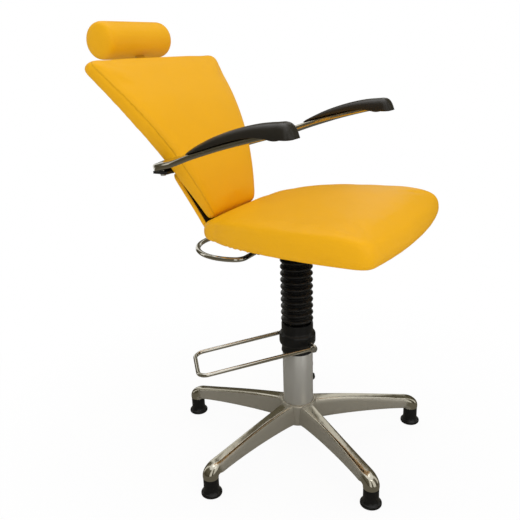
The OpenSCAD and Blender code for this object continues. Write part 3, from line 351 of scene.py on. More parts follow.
def fine_texture(tree, given):
    """Orange-peel skin of moulded and coated pieces: two sizes of noise, the finer one weaker."""
    at = scaled(tree, given, "Grain")
    coarse, fine = noise(tree, at)["Fac"], noise(tree, at, 3.7)["Fac"]
    return {"Height": calc(tree, "MULTIPLY_ADD", fine, 0.4, coarse)}


def brushed(tree, given):
    """Fine lines drawn out along the surface: noise on a position that is squeezed by the draw."""
    inputs = {0: given["Position"], 1: given["Draw"]}
    at = add(tree, "VectorMath", inputs, operation="MULTIPLY")[0]
    return {"Lines": noise(tree, at, detail=6.0, Roughness=0.7)["Fac"]}


STITCH_OFF, STITCH_STEP = 3.5, 5.5


def sewn_seam(tree, given):
    """Seam from its signed distance and its length, in millimetres: a groove 1.8 wide at half its
    depth, and beside it a row of stitches that are 4 long. Shade marks the groove, for painted
    shade in it."""
    off = calc(tree, "ABSOLUTE", given["Distance"])
    groove = ramp(tree, off, 0.2, 1.6, 1.0, 0.0)
    beside = calc(tree, "ABSOLUTE", calc(tree, "SUBTRACT", given["Distance"], STITCH_OFF))
    turn = calc(tree, "MODULO", given["Along"], STITCH_STEP)
    step = calc(tree, "ABSOLUTE", calc(tree, "SUBTRACT", turn, STITCH_STEP / 2))
    thread = calc(tree, "MULTIPLY", ramp(tree, beside, 0.35, 0.75, 1.0, 0.0),
                  ramp(tree, step, 1.7, 2.2, 1.0, 0.0))
    lifted = calc(tree, "MULTIPLY_ADD", thread, 0.35, calc(tree, "SUBTRACT", 1.0, groove))
    return {"Height": lifted, "Shade": groove, "Thread": thread}


TONE = effect("Uneven tone", "Position Tone Amount Patch", "Tone", uneven_tone)
HANDLED = effect("Handled surface", "Position Roughness Spread Patch", "Roughness", handled)
GRAIN = effect("Vinyl grain", "Position Cell", "Height Pores", vinyl_grain)
TEXTURE = effect("Fine texture", "Position Grain", "Height", fine_texture)
BRUSHED = effect("Brushed lines", "Position Draw", "Lines", brushed)
SEAM = effect("Sewn seam", "Distance Along", "Height Shade Thread", sewn_seam)


def use(tree, group, **inputs):
    return add(tree, "Group", inputs, node_tree=group)


def tone_of(red, green, blue):
    """Linear colour from an sRGB colour of 0 to 255."""
    c = np.array([red, green, blue]) / 255
    return (*np.where(c <= 0.04045, c / 12.92, ((c + 0.055) / 1.055) ** 2.4), 1.0)


def patchy(tree, at, tone, amount, patch):
    return use(tree, TONE, Position=at, Tone=tone_of(*tone), Amount=amount, Patch=patch)["Tone"]


def smudged(tree, at, roughness, spread, patch):
    inputs = {"Roughness": roughness, "Spread": spread, "Patch": patch}
    return use(tree, HANDLED, Position=at, **inputs)["Roughness"]


def relief(tree, height, depth, **under):
    """Normal of a height from 0 to 1 as a relief of depth millimetres, on top of another normal."""
    inputs = {"Height": height, "Distance": depth * MM, "Strength": 1.0, **under}
    return add(tree, "Bump", inputs)[0]


def waves(tree, at, size, detail, depth):
    """Normal of soft waves of a size and a depth in millimetres."""
    return relief(tree, noise(tree, at, 1 / (size * MM), detail)["Fac"], depth)


LOOKS = {}


def finish(name, **sockets):
    """Puts a material with one Principled shader into LOOKS, and gives its tree, the shader and
    object coordinates."""
    LOOKS[name] = bpy.data.materials.new(name)
    LOOKS[name].use_nodes = True
    tree = LOOKS[name].node_tree
    shader = tree.nodes["Principled BSDF"]
    plug_in(tree, shader, {socket.replace("_", " "): value for socket, value in sockets.items()})
    return tree, shader, add(tree, "TexCoord")["Object"]


def yellow_vinyl():
    """Smooth upholstery vinyl: pebble grain, soft patches, painted shade in the pores and in the
    groove of a sewn seam where the mesh carries one."""
    tree, shader, at = finish("yellow_vinyl", Specular_IOR_Level=0.16)
    grain = use(tree, GRAIN, Position=at, Cell=1.5)
    distance, along = (add(tree, "Attribute", attribute_name=name)["Fac"]
                       for name in ("seam", "along"))
    seam = use(tree, SEAM, Distance=calc(tree, "SUBTRACT", distance, SEAM_FAR), Along=along)
    tone = patchy(tree, at, (242, 178, 8), 0.07, 90.0)
    # Painted shade: the pores between the pebbles and the seam's groove are darkened; the thread is
    # a lighter yellow
    for mask, share, second in ((grain["Pores"], 0.16, (190, 118, 8)),
                                (seam["Shade"], 0.38, (150, 92, 8)),
                                (seam["Thread"], 0.6, (252, 196, 60))):
        share = calc(tree, "MULTIPLY", mask, share)
        tone = blend_colour(tree, share, tone, tone_of(*second))
    pebbles = relief(tree, grain["Height"], 0.10, Normal=waves(tree, at, 60, 2.0, 1.6))
    plug_in(tree, shader, {"Base Color": tone, "Roughness": smudged(tree, at, 0.43, 0.12, 24.0),
                           "Normal": relief(tree, seam["Height"], 0.8, Normal=pebbles)})


def pad_skin():
    """Glossy dark brown-black skin of the arm pads, with a faint grain and smudges."""
    tree, shader, at = finish("black_vinyl", Coat_Weight=0.16, Coat_Roughness=0.22,
                              Specular_IOR_Level=0.35)
    grain = use(tree, GRAIN, Position=at, Cell=1.1)
    plug_in(tree, shader, {"Base Color": patchy(tree, at, (33, 29, 21), 0.35, 40.0),
                           "Roughness": smudged(tree, at, 0.36, 0.16, 12.0),
                           "Normal": relief(tree, grain["Height"], 0.05)})


def moulded(name, tone, roughness, grain, depth, amount=0.3, **sockets):
    """Moulded or coated finish: uneven tone, smudges and an orange-peel skin."""
    tree, shader, at = finish(name, **sockets)
    skin_height = use(tree, TEXTURE, Position=at, Grain=grain)["Height"]
    plug_in(tree, shader, {"Base Color": patchy(tree, at, tone, amount, 22.0),
                           "Roughness": smudged(tree, at, roughness, 0.16, 9.0),
                           "Normal": relief(tree, skin_height, depth)})


def metal(name, tone, roughness, draw, depth, spread, amount, patch, metallic=1.0):
    """Bare or plated metal: brushed lines along the draw, smudges in the gloss."""
    tree, shader, at = finish(name, Metallic=metallic)
    lines = use(tree, BRUSHED, Position=at, Draw=draw)["Lines"]
    rough = smudged(tree, at, roughness, spread, patch)
    off = calc(tree, "SUBTRACT", lines, 0.5)
    lined = calc(tree, "MULTIPLY_ADD", off, spread * 0.8, rough, clamp=True)
    plug_in(tree, shader, {"Base Color": patchy(tree, at, tone, amount, patch * 2),
                           "Roughness": lined, "Normal": relief(tree, lines, depth)})


def cast_aluminium():
    """Cast legs: bright where the mesh says they are polished, satin with a cast grain
    elsewhere."""
    tree, shader, at = finish("polished_aluminium")
    polish = add(tree, "Attribute", attribute_name="polish")["Fac"]
    satin = patchy(tree, at, (168, 163, 150), 0.14, 12.0)
    bright = patchy(tree, at, (200, 195, 180), 0.06, 30.0)
    dull, gloss = smudged(tree, at, 0.42, 0.10, 6.0), smudged(tree, at, 0.15, 0.10, 18.0)
    cast = use(tree, TEXTURE, Position=at, Grain=0.9)["Height"]
    height = calc(tree, "MULTIPLY", cast, calc(tree, "SUBTRACT", 1.0, polish))
    under = waves(tree, at, 26, 1.0, 0.5)
    plug_in(tree, shader, {"Base Color": blend_colour(tree, polish, satin, bright),
                           "Roughness": add(tree, "Mix", {0: polish, 2: dull, 3: gloss})[0],
                           "Metallic": calc(tree, "MULTIPLY_ADD", polish, 0.4, 0.6),
                           "Normal": relief(tree, height, 0.05, Normal=under)})


def plywood():
    """Plywood: long grain lines across the board and thin layers through its thickness."""
    tree, shader, at = finish("plywood", Roughness=0.62)
    lines = use(tree, BRUSHED, Position=at, Draw=(420.0, 26.0, 420.0))["Lines"]
    tone = blend_colour(tree, lines, tone_of(150, 108, 64), tone_of(214, 178, 128))
    plug_in(tree, shader, {"Base Color": tone, "Normal": relief(tree, lines, 0.15)})


# Added to the seam attribute, so that a mesh without one lies far from any seam
SEAM_FAR = 500.0
yellow_vinyl()
pad_skin()
cast_aluminium()
metal("chrome_steel", (222, 218, 208), 0.09, (30.0,) * 3, 0.004, 0.06, 0.03, 40.0)
metal("satin_steel", (214, 213, 209), 0.44, (900.0, 900.0, 25.0), 0.012, 0.10, 0.05, 20.0,
      0.82)
metal("zinc_steel", (188, 188, 184), 0.3, (200.0,) * 3, 0.01, 0.16, 0.16, 6.0)
moulded("black_rubber", (14, 14, 14), 0.34, 1.0, 0.03, Specular_IOR_Level=0.35)
moulded("black_plastic", (16, 16, 16), 0.34, 0.8, 0.02, Specular_IOR_Level=0.4)
moulded("black_steel", (32, 32, 33), 0.42, 1.4, 0.05)
moulded("bearing_plastic", (222, 216, 198), 0.4, 1.2, 0.02, 0.06)
plywood()


def dressed(made, body, slot, *stands_for):
    """Gives a new piece the look that slot names and its body, and hides the CAD nodes that it
    stands for.
    """
    made.data.materials.append(LOOKS[slot])
    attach(made, body)
    if stands_for:
        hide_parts(*stands_for)
    return made


# Base

LEG_ANGLES = 93.5 + 72 * np.arange(5)
FOOT_R = 309.0
HUB_TOP, TUBE_R, TUBE_TOP = 113.6, 38, 267.6


def leg_rings():
    """One leg along +X, and how bright each point is. Its middle line runs out from the hub,
    halfway between the top and bottom curves, then its sections fan round an inner corner onto the
    foot: their outer ends follow a quarter ellipse. The section at each step is
    (w sign(c)|c|^p (1 - draft * y/h), h sign(s)|s|^p), squarish on the leg and round at the tip."""
    t = np.linspace(0, 1, 40)
    top = np.vstack([[[30, 113.2]],
                     curve([46, 113], [129.8, 107], [216.3, 92], [288, 79.6], t)])
    low = curve([46, 57], [185.4, 59], [288, 49.4], t)
    reach = np.concatenate([np.linspace(30, 58, 9)[:-1], np.linspace(58, 284, 30)])
    high, under = np.interp(reach, *top.T), np.interp(reach, *low.T)
    plan = curve([27.6, 22], [105, 15], [185.4, 12.6], [FOOT_R, 18.6], t)
    half = np.interp(reach, *plan.T) + 1.2 * np.exp(-np.maximum(reach - 44, 0) / 9)
    turn = np.linspace(0, pi / 2, 17)[1:]
    outer = columns(286 + 41.6 * np.sin(turn), 51 + 28.8 * np.cos(turn))
    inner = columns(286 + 4.4 * np.sin(turn), 47.4 + 2.2 * np.cos(turn))
    outer = np.vstack([columns(reach, high), outer, [[327.6, 48.5], [327.4, 45.3]]])
    inner = np.vstack([columns(reach, under), inner, [[290.4, 46.6], [290.6, 45.3]]])
    w = np.concatenate([half, half[-1] + (18.6 - half[-1]) * np.sin(turn), [18.6, 18.4]])
    power = np.concatenate([0.42 + 0.1 * ease(150, 276, reach), 0.52 + 0.48 * np.sin(turn), [1, 1]])
    a = (np.arange(48) + 0.5) * 2 * pi / 48
    c, s, p = np.cos(a), np.sin(a), power[:, None]
    up = np.sign(s) * np.abs(s) ** p
    side = np.sign(c) * np.abs(c) ** p * (1 - 0.1 * up * ((1 - p) / 0.58))
    middle, arm = (outer + inner) / 2, (outer - inner) / 2
    out = np.stack([middle[:, :1] + arm[:, :1] * up, w[:, None] * side,
                    middle[:, 1:] + arm[:, 1:] * up], -1)
    x = middle[:, 0]
    bright = np.maximum(ease(0.80, 0.9, up) * ease(40, 60, x)[:, None],
                        ease(284, 296, x)[:, None] * ease(-0.75, -0.2, up))
    return out, bright


def star_base():
    """Hub and five legs. The hub is a turned ring with a soft top edge."""
    leg, bright = leg_rings()
    points, faces = skin_mesh(leg)
    polish = np.concatenate([bright.ravel(), [0, 0]])
    profile = [(TUBE_R + .1, 70), (TUBE_R + .1, HUB_TOP), (42.5, HUB_TOP), (46, 110.5), (46, 60),
               (43, 56.3), (20, 56.3), (20, 70)]
    hub_points, hub_faces = skin_mesh(lathe(softened(profile, 2.2, 4, True), 96), True)
    legs = [(turned(points, spin(a, "Z")), faces) for a in LEG_ANGLES]
    made = several("leg_star", [(hub_points, hub_faces), *legs], 40)
    hub_bright = 0.55 * ease(109, 113, hub_points[:, 2])
    attribute(made, "polish", np.concatenate([hub_bright, *[polish] * len(LEG_ANGLES)]))
    dressed(made, "base", "polished_aluminium", "star_base")


def glides():
    """Five turned feet: wide flange, waisted stem and a thin collar under the leg."""
    stem = [(0, 0.1), (22, 0.1), (24.5, 2.2), (24.5, 6.6), (23, 8.8), (20.4, 10.4), (18.6, 13.5),
            (18, 18), (17.9, 30), (17.9, 44.9), (0, 44.9)]
    points, faces = skin_mesh(lathe(np.maximum(softened(stem, 1.6, 3), [0.01, 0]), 48))
    feet = [(points + [FOOT_R * cos(a), FOOT_R * sin(a), 0], faces)
            for a in np.radians(LEG_ANGLES)]
    made = several("foot_glides", feet)
    dressed(made, "base", "black_rubber", "glide_feet")


def column():
    """Satin tube with small chamfers at its ends."""
    profile = [(35.2, 66), (35.2, TUBE_TOP), (TUBE_R - .4, TUBE_TOP), (TUBE_R, TUBE_TOP - .6),
               (TUBE_R, 66.6), (TUBE_R - .4, 66)]
    made = skin("column_tube_satin", lathe(profile, 128), True)
    dressed(made, "base", "satin_steel", "column_tube")


def hub_lip():
    """Thin dull ring pressed round the tube at the hub's top."""
    line = columns(circle(96, TUBE_R + 0.7), np.full(96, HUB_TOP))
    ring = sweep(line, circle(10, 0.7), True)
    made = skin("hub_lip", ring, True)
    attribute(made, "polish", 0)
    dressed(made, "base", "polished_aluminium")


def plug():
    """Domed plug in the side of the tube: rings of radius 6 cos a at height 4.9 sin a."""
    a = np.radians(np.linspace(0, 88, 9))
    dome = columns(6 * np.cos(a), TUBE_R + 4.9 * np.sin(a))
    rings = lathe(np.vstack([[(4, 35), (6, 37.2)], dome]), 28)
    made = skin("tube_plug", turned(rings, spin(-60, "Z") @ move(0, 0, 178) @ spin(90, "Y")))
    dressed(made, "base", "black_plastic", "column_plug")


def boot():
    """Rubber boot: neck, bulge and a rolled lower edge, turned round the column."""
    t = np.linspace(0, 1, 9)
    outer = np.vstack([[(38.2, 252.3), (39.9, 252.3), (40.6, 253.6), (40.4, 256), (39.5, 258),
                        (39.5, 266)],
                       curve([39.5, 268], [39.5, 273], [45.4, 273], [45.4, 281], t),
                       curve([45.4, 296.6], [45.4, 303], [39.6, 303], [39.5, 307.6], t),
                       [(39.5, 325), (39, 328.6), (36, 329.6)]])
    inner = [(36, 327), (38.15, 300), (38.15, 254)]
    made = skin("rubber_boot", lathe(np.vstack([outer, inner]), 96), True)
    dressed(made, "base", "black_rubber", "pump_boot")


RIBS, STEPS, SLEEVE_LOW, SLEEVE_TOP = 12, 14, 330.2, 533.6


def bellows():
    """Ribbed sleeve: radius 32 + 8 ((1 - cos a)/2)^0.75, one turn of a for each rib."""
    a = np.arange(RIBS * STEPS + 1) / STEPS
    r = 32 + 8 * ((1 - np.cos(2 * pi * a)) / 2) ** 0.75
    outer = columns(r, SLEEVE_LOW + a * (SLEEVE_TOP - SLEEVE_LOW) / RIBS)
    rings = lathe(np.vstack([outer, outer[::-1] - [1.8, 0]]), 72)
    made = skin("ribbed_sleeve", rings, True, sharp=60)
    made.data.materials.append(LOOKS["black_rubber"])
    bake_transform(made)
    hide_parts("bellows")


def sleeve_ring():
    profile = softened([(14.2, 534.1), (40.9, 534.1), (40.9, 539.9), (14.2, 539.9)], 1.2, 3, True)
    made = skin("sleeve_ring", lathe(profile, 72), True)
    dressed(made, "lift", "black_plastic", "bellows_ring")


# Pump lever

LEVER = spin(130, "Z") @ move(-24, 0, 282) @ spin(8.5, "Y")
REACH, SIDE, TURN_R = 283, 63, 24


def pump_lever():
    """Rod bent to a long loop with an eyelet at each end. The loop is two straight arms and two
    quarter circles; an eyelet is a short turned barrel with soft edges."""
    a = np.linspace(0, pi / 2, 13)
    bend = REACH - TURN_R
    corner = columns(bend + TURN_R * np.sin(a), SIDE - TURN_R + TURN_R * np.cos(a), 0 * a)
    straight = [[x, SIDE, 0] for x in np.linspace(6, bend, 24)[:-1]]
    half = np.vstack([straight, corner, [[REACH, 20, 0]]])
    path = np.vstack([half, [[REACH, 0, 0]], (half * [1, -1, 1])[::-1]])
    meshes = [skin_mesh(turned(sweep(path, circle(20, 5.0)), LEVER))]
    barrel = softened([(5.15, -5.4), (9.4, -5.4), (9.4, 5.4), (5.15, 5.4)], 1.4, 3, True)
    for side in (SIDE, -SIDE):
        place = LEVER @ move(0, side, 0) @ spin(90, "X")
        meshes.append(skin_mesh(turned(lathe(barrel, 36), place), True))
    dressed(several("lever_loop", meshes), "foot_pump", "chrome_steel", "pump_lever")


# Seat

SEAT_W, SEAT_F, SEAT_R = 247.0, -298.0, 173.0
SEAT = move(0, 0, 574) @ spin(-0.7, "X")
# Points round a cushion, and how far its face starts inside the one that pressure gives it
AROUND, SLACK = 220, 1.0


def seat_outline(soft):
    """Seen from above: two tight front corners, sides that draw in to a narrower rear. Soft
    rounds the corners more, for the lines that lie inside the edge."""
    t = np.linspace(0, 1, 24)
    w, f, r = SEAT_W, SEAT_F, SEAT_R
    front, side = [w * .91 - soft, f * .937], [w * .992, f * .84 + soft]
    waist = [w * .755, r * .644]
    half = np.vstack([curve([0, f], [w * .45, f * 1.004], front, t)[:-1],
                      curve(front, [w * .976, f * .922], side, t)[:-1],
                      curve(side, [w * 1.018, f * .32], [w * .92, r * .23], waist, t)[:-1],
                      curve(waist, [w * .71, r * .87], [w * .6, r], [w * .37, r], t),
                      [[w * .18, r], [0, r]]])
    return even(whole(half), AROUND)


def seat_edge(y):
    """Height of the cushion's edge: 63 less a cubic fall to the rear and a square one to the
    front."""
    rear, front = np.maximum(y + 150, 0) / 323, np.maximum(-188 - y, 0) / 110
    return 63 - 31 * rear ** 3 - 20 * front ** 2


def layer(line, middle, scale, height):
    """Ring of an outline, scaled about a middle point, whose heights come from its y."""
    q = (line - middle) * scale + middle
    return columns(q, height(q[:, 1]))


def seat_rings():
    """Rings from the middle of the underside, round the drawn-in side, to the middle of the crown:
    inset d and height share s on the side, which hangs 4 mm below the board, and
    edge + 8.2 (1 - f^2) on top at scale f."""
    def line(depth):
        return inset(seat_outline(depth), depth)

    rings = [layer(line(15), 0, f, lambda y: 0 * y + 2) for f in (0.12, 0.4, 0.7, 1)]
    rings += [layer(line(d), 0, 1, lambda y: 0 * y + z) for d, z in ((13.2, 1.0), (12.4, -3.0))]
    side = [(9.5, 0.0), (8, 0.0), (2.5, .1), (0, .35), (.5, .6), (3, .8), (8, .94), (15, .99)]
    for d, s in smooth(side, 3):
        rings.append(layer(line(d + SLACK), 0, 1, lambda y: (seat_edge(y) + 4) * s * .988 - 4))
    rim = line(15 + SLACK)
    for f in (.97, .92, .84, .75, .66, .55, .44, .32, .2, .08):
        rings.append(layer(rim, [0, -59.6], f, lambda y: seat_edge(y) + 8.2 * (1 - f * f)))
    return np.array(rings)


# Frames of the simulation, and rounds of evening out after it
FRAMES, EVENINGS = 20, 10
CLOTH = {"tension_stiffness": 22, "compression_stiffness": 22, "shear_stiffness": 12,
         "bending_stiffness": 6.0, "quality": 5, "mass": 0.4, "use_pressure": True,
         "vertex_group_mass": "held"}


def evaluated(made):
    return made.evaluated_get(bpy.context.evaluated_depsgraph_get())


def applied(made):
    """Makes an object's modifiers part of its mesh."""
    fresh = bpy.data.meshes.new_from_object(evaluated(made))
    made.modifiers.clear()
    made.data = fresh


def puffed(made, held, voxel, pressure, cap):
    """Padded fabric: the mesh is remeshed in voxels, swells under air pressure as cloth, the folds
    are evened out a little, no point moves further than cap, and the result is subdivided. held
    gives from the points how firmly each is kept, from 0 to 1."""
    bpy.context.view_layer.objects.active = made
    remesh = made.modifiers.new("Remesh", "REMESH")
    remesh.mode, remesh.voxel_size, remesh.use_smooth_shade = "VOXEL", voxel * MM, True
    made.modifiers.new("Smooth", "SMOOTH").iterations = 4
    applied(made)
    at = places(made.data)
    group = made.vertex_groups.new(name="held")
    for weight in (0.5, 1.0):
        firm = np.nonzero(np.abs(held(at) - weight) < 0.26)[0]
        group.add(firm.tolist(), weight, "REPLACE")
    cloth = made.modifiers.new("Cloth", "CLOTH")
    for key, value in {**CLOTH, "uniform_pressure_force": pressure}.items():
        setattr(cloth.settings, key, value)
    cloth.settings.effector_weights.gravity = 0
    cloth.point_cache.frame_start, cloth.point_cache.frame_end = 1, FRAMES
    for number in range(1, FRAMES + 1):
        scene.frame_set(number)
    move = places(evaluated(made).data) - at
    ends = np.zeros(len(made.data.edges) * 2, np.int32)
    made.data.edges.foreach_get("vertices", ends)
    ends = ends.reshape(-1, 2)
    first, second = np.concatenate([ends, ends[:, ::-1]]).T
    share = np.maximum(np.bincount(first, minlength=len(at)), 1)[:, None]
    for _ in range(EVENINGS):
        near = np.stack([np.bincount(first, move[second, k], len(at)) for k in range(3)], 1)
        move = (move + near / share) / 2
    size = np.linalg.norm(move, axis=1, keepdims=True)
    move *= np.tanh(size / cap) * cap / np.maximum(size, 1e-6)
    made.modifiers.clear()
    made.vertex_groups.clear()
    put(made.data, at + move)
    scene.frame_set(1)
    made.modifiers.new("Smooth", "SMOOTH").iterations = 3
    made.modifiers.new("Subdivision", "SUBSURF").levels = 1
    applied(made)
    made.data.shade_smooth()


def near_line(at, line):
    """For each point the distance to a closed line and the length along it to the nearest place.
    Within 12 mm of the line the distance is square to it."""
    line = even(line, 900)
    step = np.linalg.norm(line[1] - line[0])
    best, index = np.empty(len(at)), np.empty(len(at), int)
    for start in range(0, len(at), 4000):
        part = slice(start, start + 4000)
        gap = np.linalg.norm(at[part, None] - line[None], axis=2)
        index[part], best[part] = gap.argmin(1), gap.min(1)
    ahead = unit(line[(index + 1) % len(line)] - line[index - 1])
    off = at - line[index]
    slip = np.einsum("ij,ij->i", off, ahead)
    square = np.linalg.norm(off - slip[:, None] * ahead, axis=1)
    return np.where(best < 12, square, best), index * step + slip


def sewn(made, line, front, depth=1.1, width=2.6):
    """Puts a seam along a line: the mesh sinks by depth * exp(-(distance/width)^2), and the
    attributes hold the signed distance, positive where front is positive, and the length."""
    at = places(made.data)
    distance, along = near_line(at, line)
    normals = rows_of(made.data.vertex_normals, "vector")
    at -= normals * (depth * np.exp(-(distance / width) ** 2))[:, None]
    put(made.data, at)
    attribute(made, "seam", SEAM_FAR + distance * np.where(front(at) > 0, 1, -1))
    attribute(made, "along", along)


def seat_cushion():
    made = skin("seat_pad", turned(seat_rings(), SEAT), sharp=0)

    def held(at):
        low = turned(at, SEAT.inverted())[:, 2]
        return np.where(low < 2.8, 1.0, np.where(low < 8, 0.5, 0.0))

    puffed(made, held, voxel=5.0, pressure=2.4, cap=2.6)
    dressed(made, "seat", "yellow_vinyl", "seat_cushion")


RING_Z, BOW_Y, BOW_R, AXLE_Y, CORNER_R = 508, 148, 113, 92, 26


def release_ring():
    """D-shaped rod: a round side, two smaller corners and a straight front side on the axle, with
    the journal tube on it. A corner lies inside the round side and touches both lines."""
    low = AXLE_Y + CORNER_R - BOW_Y
    corner_x = sqrt((BOW_R - CORNER_R) ** 2 - low ** 2)
    dip = atan2(low, corner_x)
    a = np.linspace(-pi / 2, dip, 14)
    corner = [corner_x, AXLE_Y + CORNER_R] + CORNER_R * columns(np.cos(a), np.sin(a))
    b = np.linspace(dip, pi / 2, 48)[1:]
    bow = [0, BOW_Y] + BOW_R * columns(np.cos(b), np.sin(b))
    loop = even(whole(np.vstack([[[0, AXLE_Y]], corner, bow])), 180)
    ring = columns(loop, np.full(180, RING_Z))
    rod = skin_mesh(sweep(ring, circle(20, 6.0), True), True)
    sleeve = softened([(5.6, -27.9), (6.95, -27.9), (6.95, 27.9), (5.6, 27.9)], 0.6, 3, True)
    tube = turned(lathe(sleeve, 32), move(0, AXLE_Y, RING_Z) @ spin(90, "Y"))
    made = several("release_handle", [rod, skin_mesh(tube, True)])
    dressed(made, "release", "chrome_steel", "release_ring")


# Back

BACK_L, BULGE, BACK_T, BACK_LOW_T = 415.0, 27.0, 42.0, 29.0
BEND_R = ((BACK_L / 2) ** 2 + BULGE ** 2) / (2 * BULGE)
BACK = move(0, 162, 608) @ spin(60.9, "X")
BACK_LOW, PANEL_LOW, HALF_LOW, HALF_TOP = -4, 85, 98, 249


def bend_of(up):
    """Forward bulge of the back at a length up its rake: an arc of a circle."""
    return np.sqrt(BEND_R ** 2 - (np.asarray(up) - BACK_L / 2) ** 2) - BEND_R + BULGE


def thickness(up):
    return BACK_LOW_T + (BACK_T - BACK_LOW_T) * np.clip(np.asarray(up) / 100, 0, 1)


def back_outline(low, count, soft=0.0):
    """Fan-shaped outline of the back from a bottom edge at height low. Soft rounds the corners
    more, for the lines that lie inside the edge."""
    slope = (HALF_TOP - HALF_LOW) / BACK_L
    base, t, r = HALF_LOW + slope * low, np.linspace(0, 1, 20), (18 if low > 0 else 9) + soft
    start, end = [base + slope * r, low + r], [HALF_TOP - slope * (26 + soft), BACK_L - 26 - soft]
    bulge = [(base + HALF_TOP) / 2 + 8, (low + BACK_L) / 2]
    top = [HALF_TOP - 38 - soft, BACK_L + 1]
    half = np.vstack([[[0, low], [base * .5, low]],
                      curve([base - r, low], [base, low], start, t)[:-1],
                      curve(start, bulge, end, t)[:-1],
                      curve(end, [HALF_TOP + slope * 2, BACK_L], top, t),
                      [[HALF_TOP / 2, BACK_L + 3], [0, BACK_L + 3]]])
    return even(whole(half), count)


def swell(up, start, end, height):
    """Half a sine wave of a height, from one length up the back to another."""
    return height * np.sin(pi * np.clip((np.asarray(up) - start) / (end - start), 0, 1))


def fuller(up):
    """Fuller lower half of the cushion's front."""
    return swell(up, -70, 340, 9)


def back_front(up):
    return bend_of(up) + fuller(up)


def back_ring(loop, depth, share):
    """Side ring: inset by depth, at a share of the thickness from the rear. The rear edge is
    fuller above the arms."""
    q = inset(loop, depth)
    rear = bend_of(q[:, 1]) - thickness(q[:, 1]) - swell(q[:, 1], 130, BACK_L, 6)
    return columns(q, rear + (back_front(q[:, 1]) - rear) * share)


def back_rings():
    """Rings from the middle of the rear round the side to the middle of the front. The rear inside
    the panel's edge is sunk 6 mm, and the front has a crown of 4 (1 - f^2)."""
    def outline(depth):
        return back_outline(BACK_LOW, AROUND, depth)

    panel = back_outline(PANEL_LOW, AROUND)
    rings = [layer(inset(panel, 14), [0, BACK_L * .6], f, lambda up: bend_of(up) - BACK_T + 6)
             for f in (0.15, 0.4, 0.7, 0.9, 1.0)]
    rings.append(layer(inset(panel, 12.5), 0, 1, lambda up: bend_of(up) - thickness(up)))
    side = [(9, 0), (3, .1), (.5, .3), (0, .5), (1.8, .72), (6, .88), (12, .965), (21, 1)]
    rings += [back_ring(outline(d), d + SLACK, s) for d, s in smooth(side, 3)]
    rim = inset(outline(24), 21 + SLACK)
    for f in (.95, .9, .84, .74, .62, .5, .4, .28, .18, .07):
        rings.append(layer(rim, [0, BACK_L * .56], f, lambda up: back_front(up) + 4 * (1 - f * f)))
    return np.array(rings)


def back_cushion():
    made = skin("back_pad", turned(back_rings(), BACK), sharp=0)

    def held(at):
        local = turned(at, BACK.inverted())
        depth = bend_of(np.clip(local[:, 1], 0, BACK_L)) - local[:, 2]
        rear = depth / thickness(local[:, 1])
        return np.where(rear > 0.88, 1.0, np.where(rear > 0.7, 0.5, 0.0))

    def front(at):
        local = turned(at, BACK.inverted())
        up = np.clip(local[:, 1], -5, BACK_L + 5)
        return local[:, 2] - back_front(up) + (thickness(up) + fuller(up)) * 0.26

    puffed(made, held, voxel=4.6, pressure=2.4, cap=2.6)
    sewn(made, turned(back_ring(back_outline(BACK_LOW, 400), 1.6, 0.74), BACK), front)
    dressed(made, "back", "yellow_vinyl", "back_cushion")


def back_panel():
    """Covered rear panel: rings on the bend surface, from the middle of its rear over a soft edge
    to the middle of its front."""
    loop = inset(back_outline(PANEL_LOW, 160), 15)
    rings = [layer(loop, [0, BACK_L * .6], f, lambda up: bend_of(up) - depth) for f, depth in
             [(.05, 42), (.3, 42), (.6, 42), (.85, 42), (.97, 41.9), (.99, 41.2), (1, 40),
              (1, 38.5), (.6, 38.4), (.05, 38.4)]]
    made = skin("rear_panel", turned(rings, BACK), sharp=0)
    dressed(made, "back", "yellow_vinyl", "back_panel")


def lower_shell():
    """Covered shell behind the frame bars: rounded sections along a path up the rear, from rows
    with y, z, thickness and half width. A thin dark sheet lies on its front and darkens the gap
    behind the back."""
    rows = smooth([(186.4, 557, 4, 88), (189.8, 567, 9, 93), (195.5, 582, 13, 97),
                   (205.5, 603, 13, 101), (223.6, 641.5, 13, 110), (246, 688, 13, 121),
                   (250.6, 697.5, 11, 122), (253.6, 703.5, 6, 120)], 5)
    path = columns(0 * rows[:, 0], rows[:, 0], rows[:, 1])
    sections = np.array([rounded(2 * w, t, t * .49, 6) for _, _, t, w in rows])
    made = skin("lower_shell_cover", sweep(path, sections), sharp=50)
    dressed(made, "back", "yellow_vinyl", "lower_shell")
    along = unit(np.gradient(path, axis=0))
    # Thin dark sheet on the shell's front, which makes the gap between it and the back show dark
    front = np.stack([along[:, 0], -along[:, 2], along[:, 1]], 1) * (rows[:, 2:3] / 2 + 0.35)
    dark_sheet = np.array([rounded(2 * w - 5, 0.9, 0.4, 6) for _, _, _, w in rows[3:-2]])
    made = skin("shell_dark_sheet", sweep((path + front)[3:-2], dark_sheet), sharp=50)
    dressed(made, "back", "black_vinyl")


# Arms

ARM_T, ARM_W, ARM_FRONT = 13.0, 34.0, -115.0
ARM_ROWS = np.array([
    [100, 267, 0, 0, 1.2, .74], [138, 266, 0, 2, 1.18, .7], [169, 254.5, 3, 9, 1.18, .8],
    [202, 226, 11.9, 16, 1.2, 1], [231, 189, 21.8, 18, 1.12, 1], [254, 142, 34.7, 16, 1.04, 1],
    [268, 84, 55.5, 11, 1, 1], [270, 14, 77.3, 4, 1, 1], [268, -66, 97.1, 0, 1, 1],
    [267, ARM_FRONT, 108, 0, 1, 1]])
PLATE_TOP = 716.1


def arm_line(steps):
    """Middle line and form of the bar: the rows give x, y, height over the cross plate, roll,
    thickness share and width share."""
    x, y, z, roll, thick, wide = ARM_ROWS.T
    z = z + PLATE_TOP + ARM_T * thick / 2 + np.maximum(roll - 2, 0) * ARM_W / 125
    run = smooth(columns(x, y, z, roll, thick, wide), steps)
    return run[:, :3], run[:, 3:]


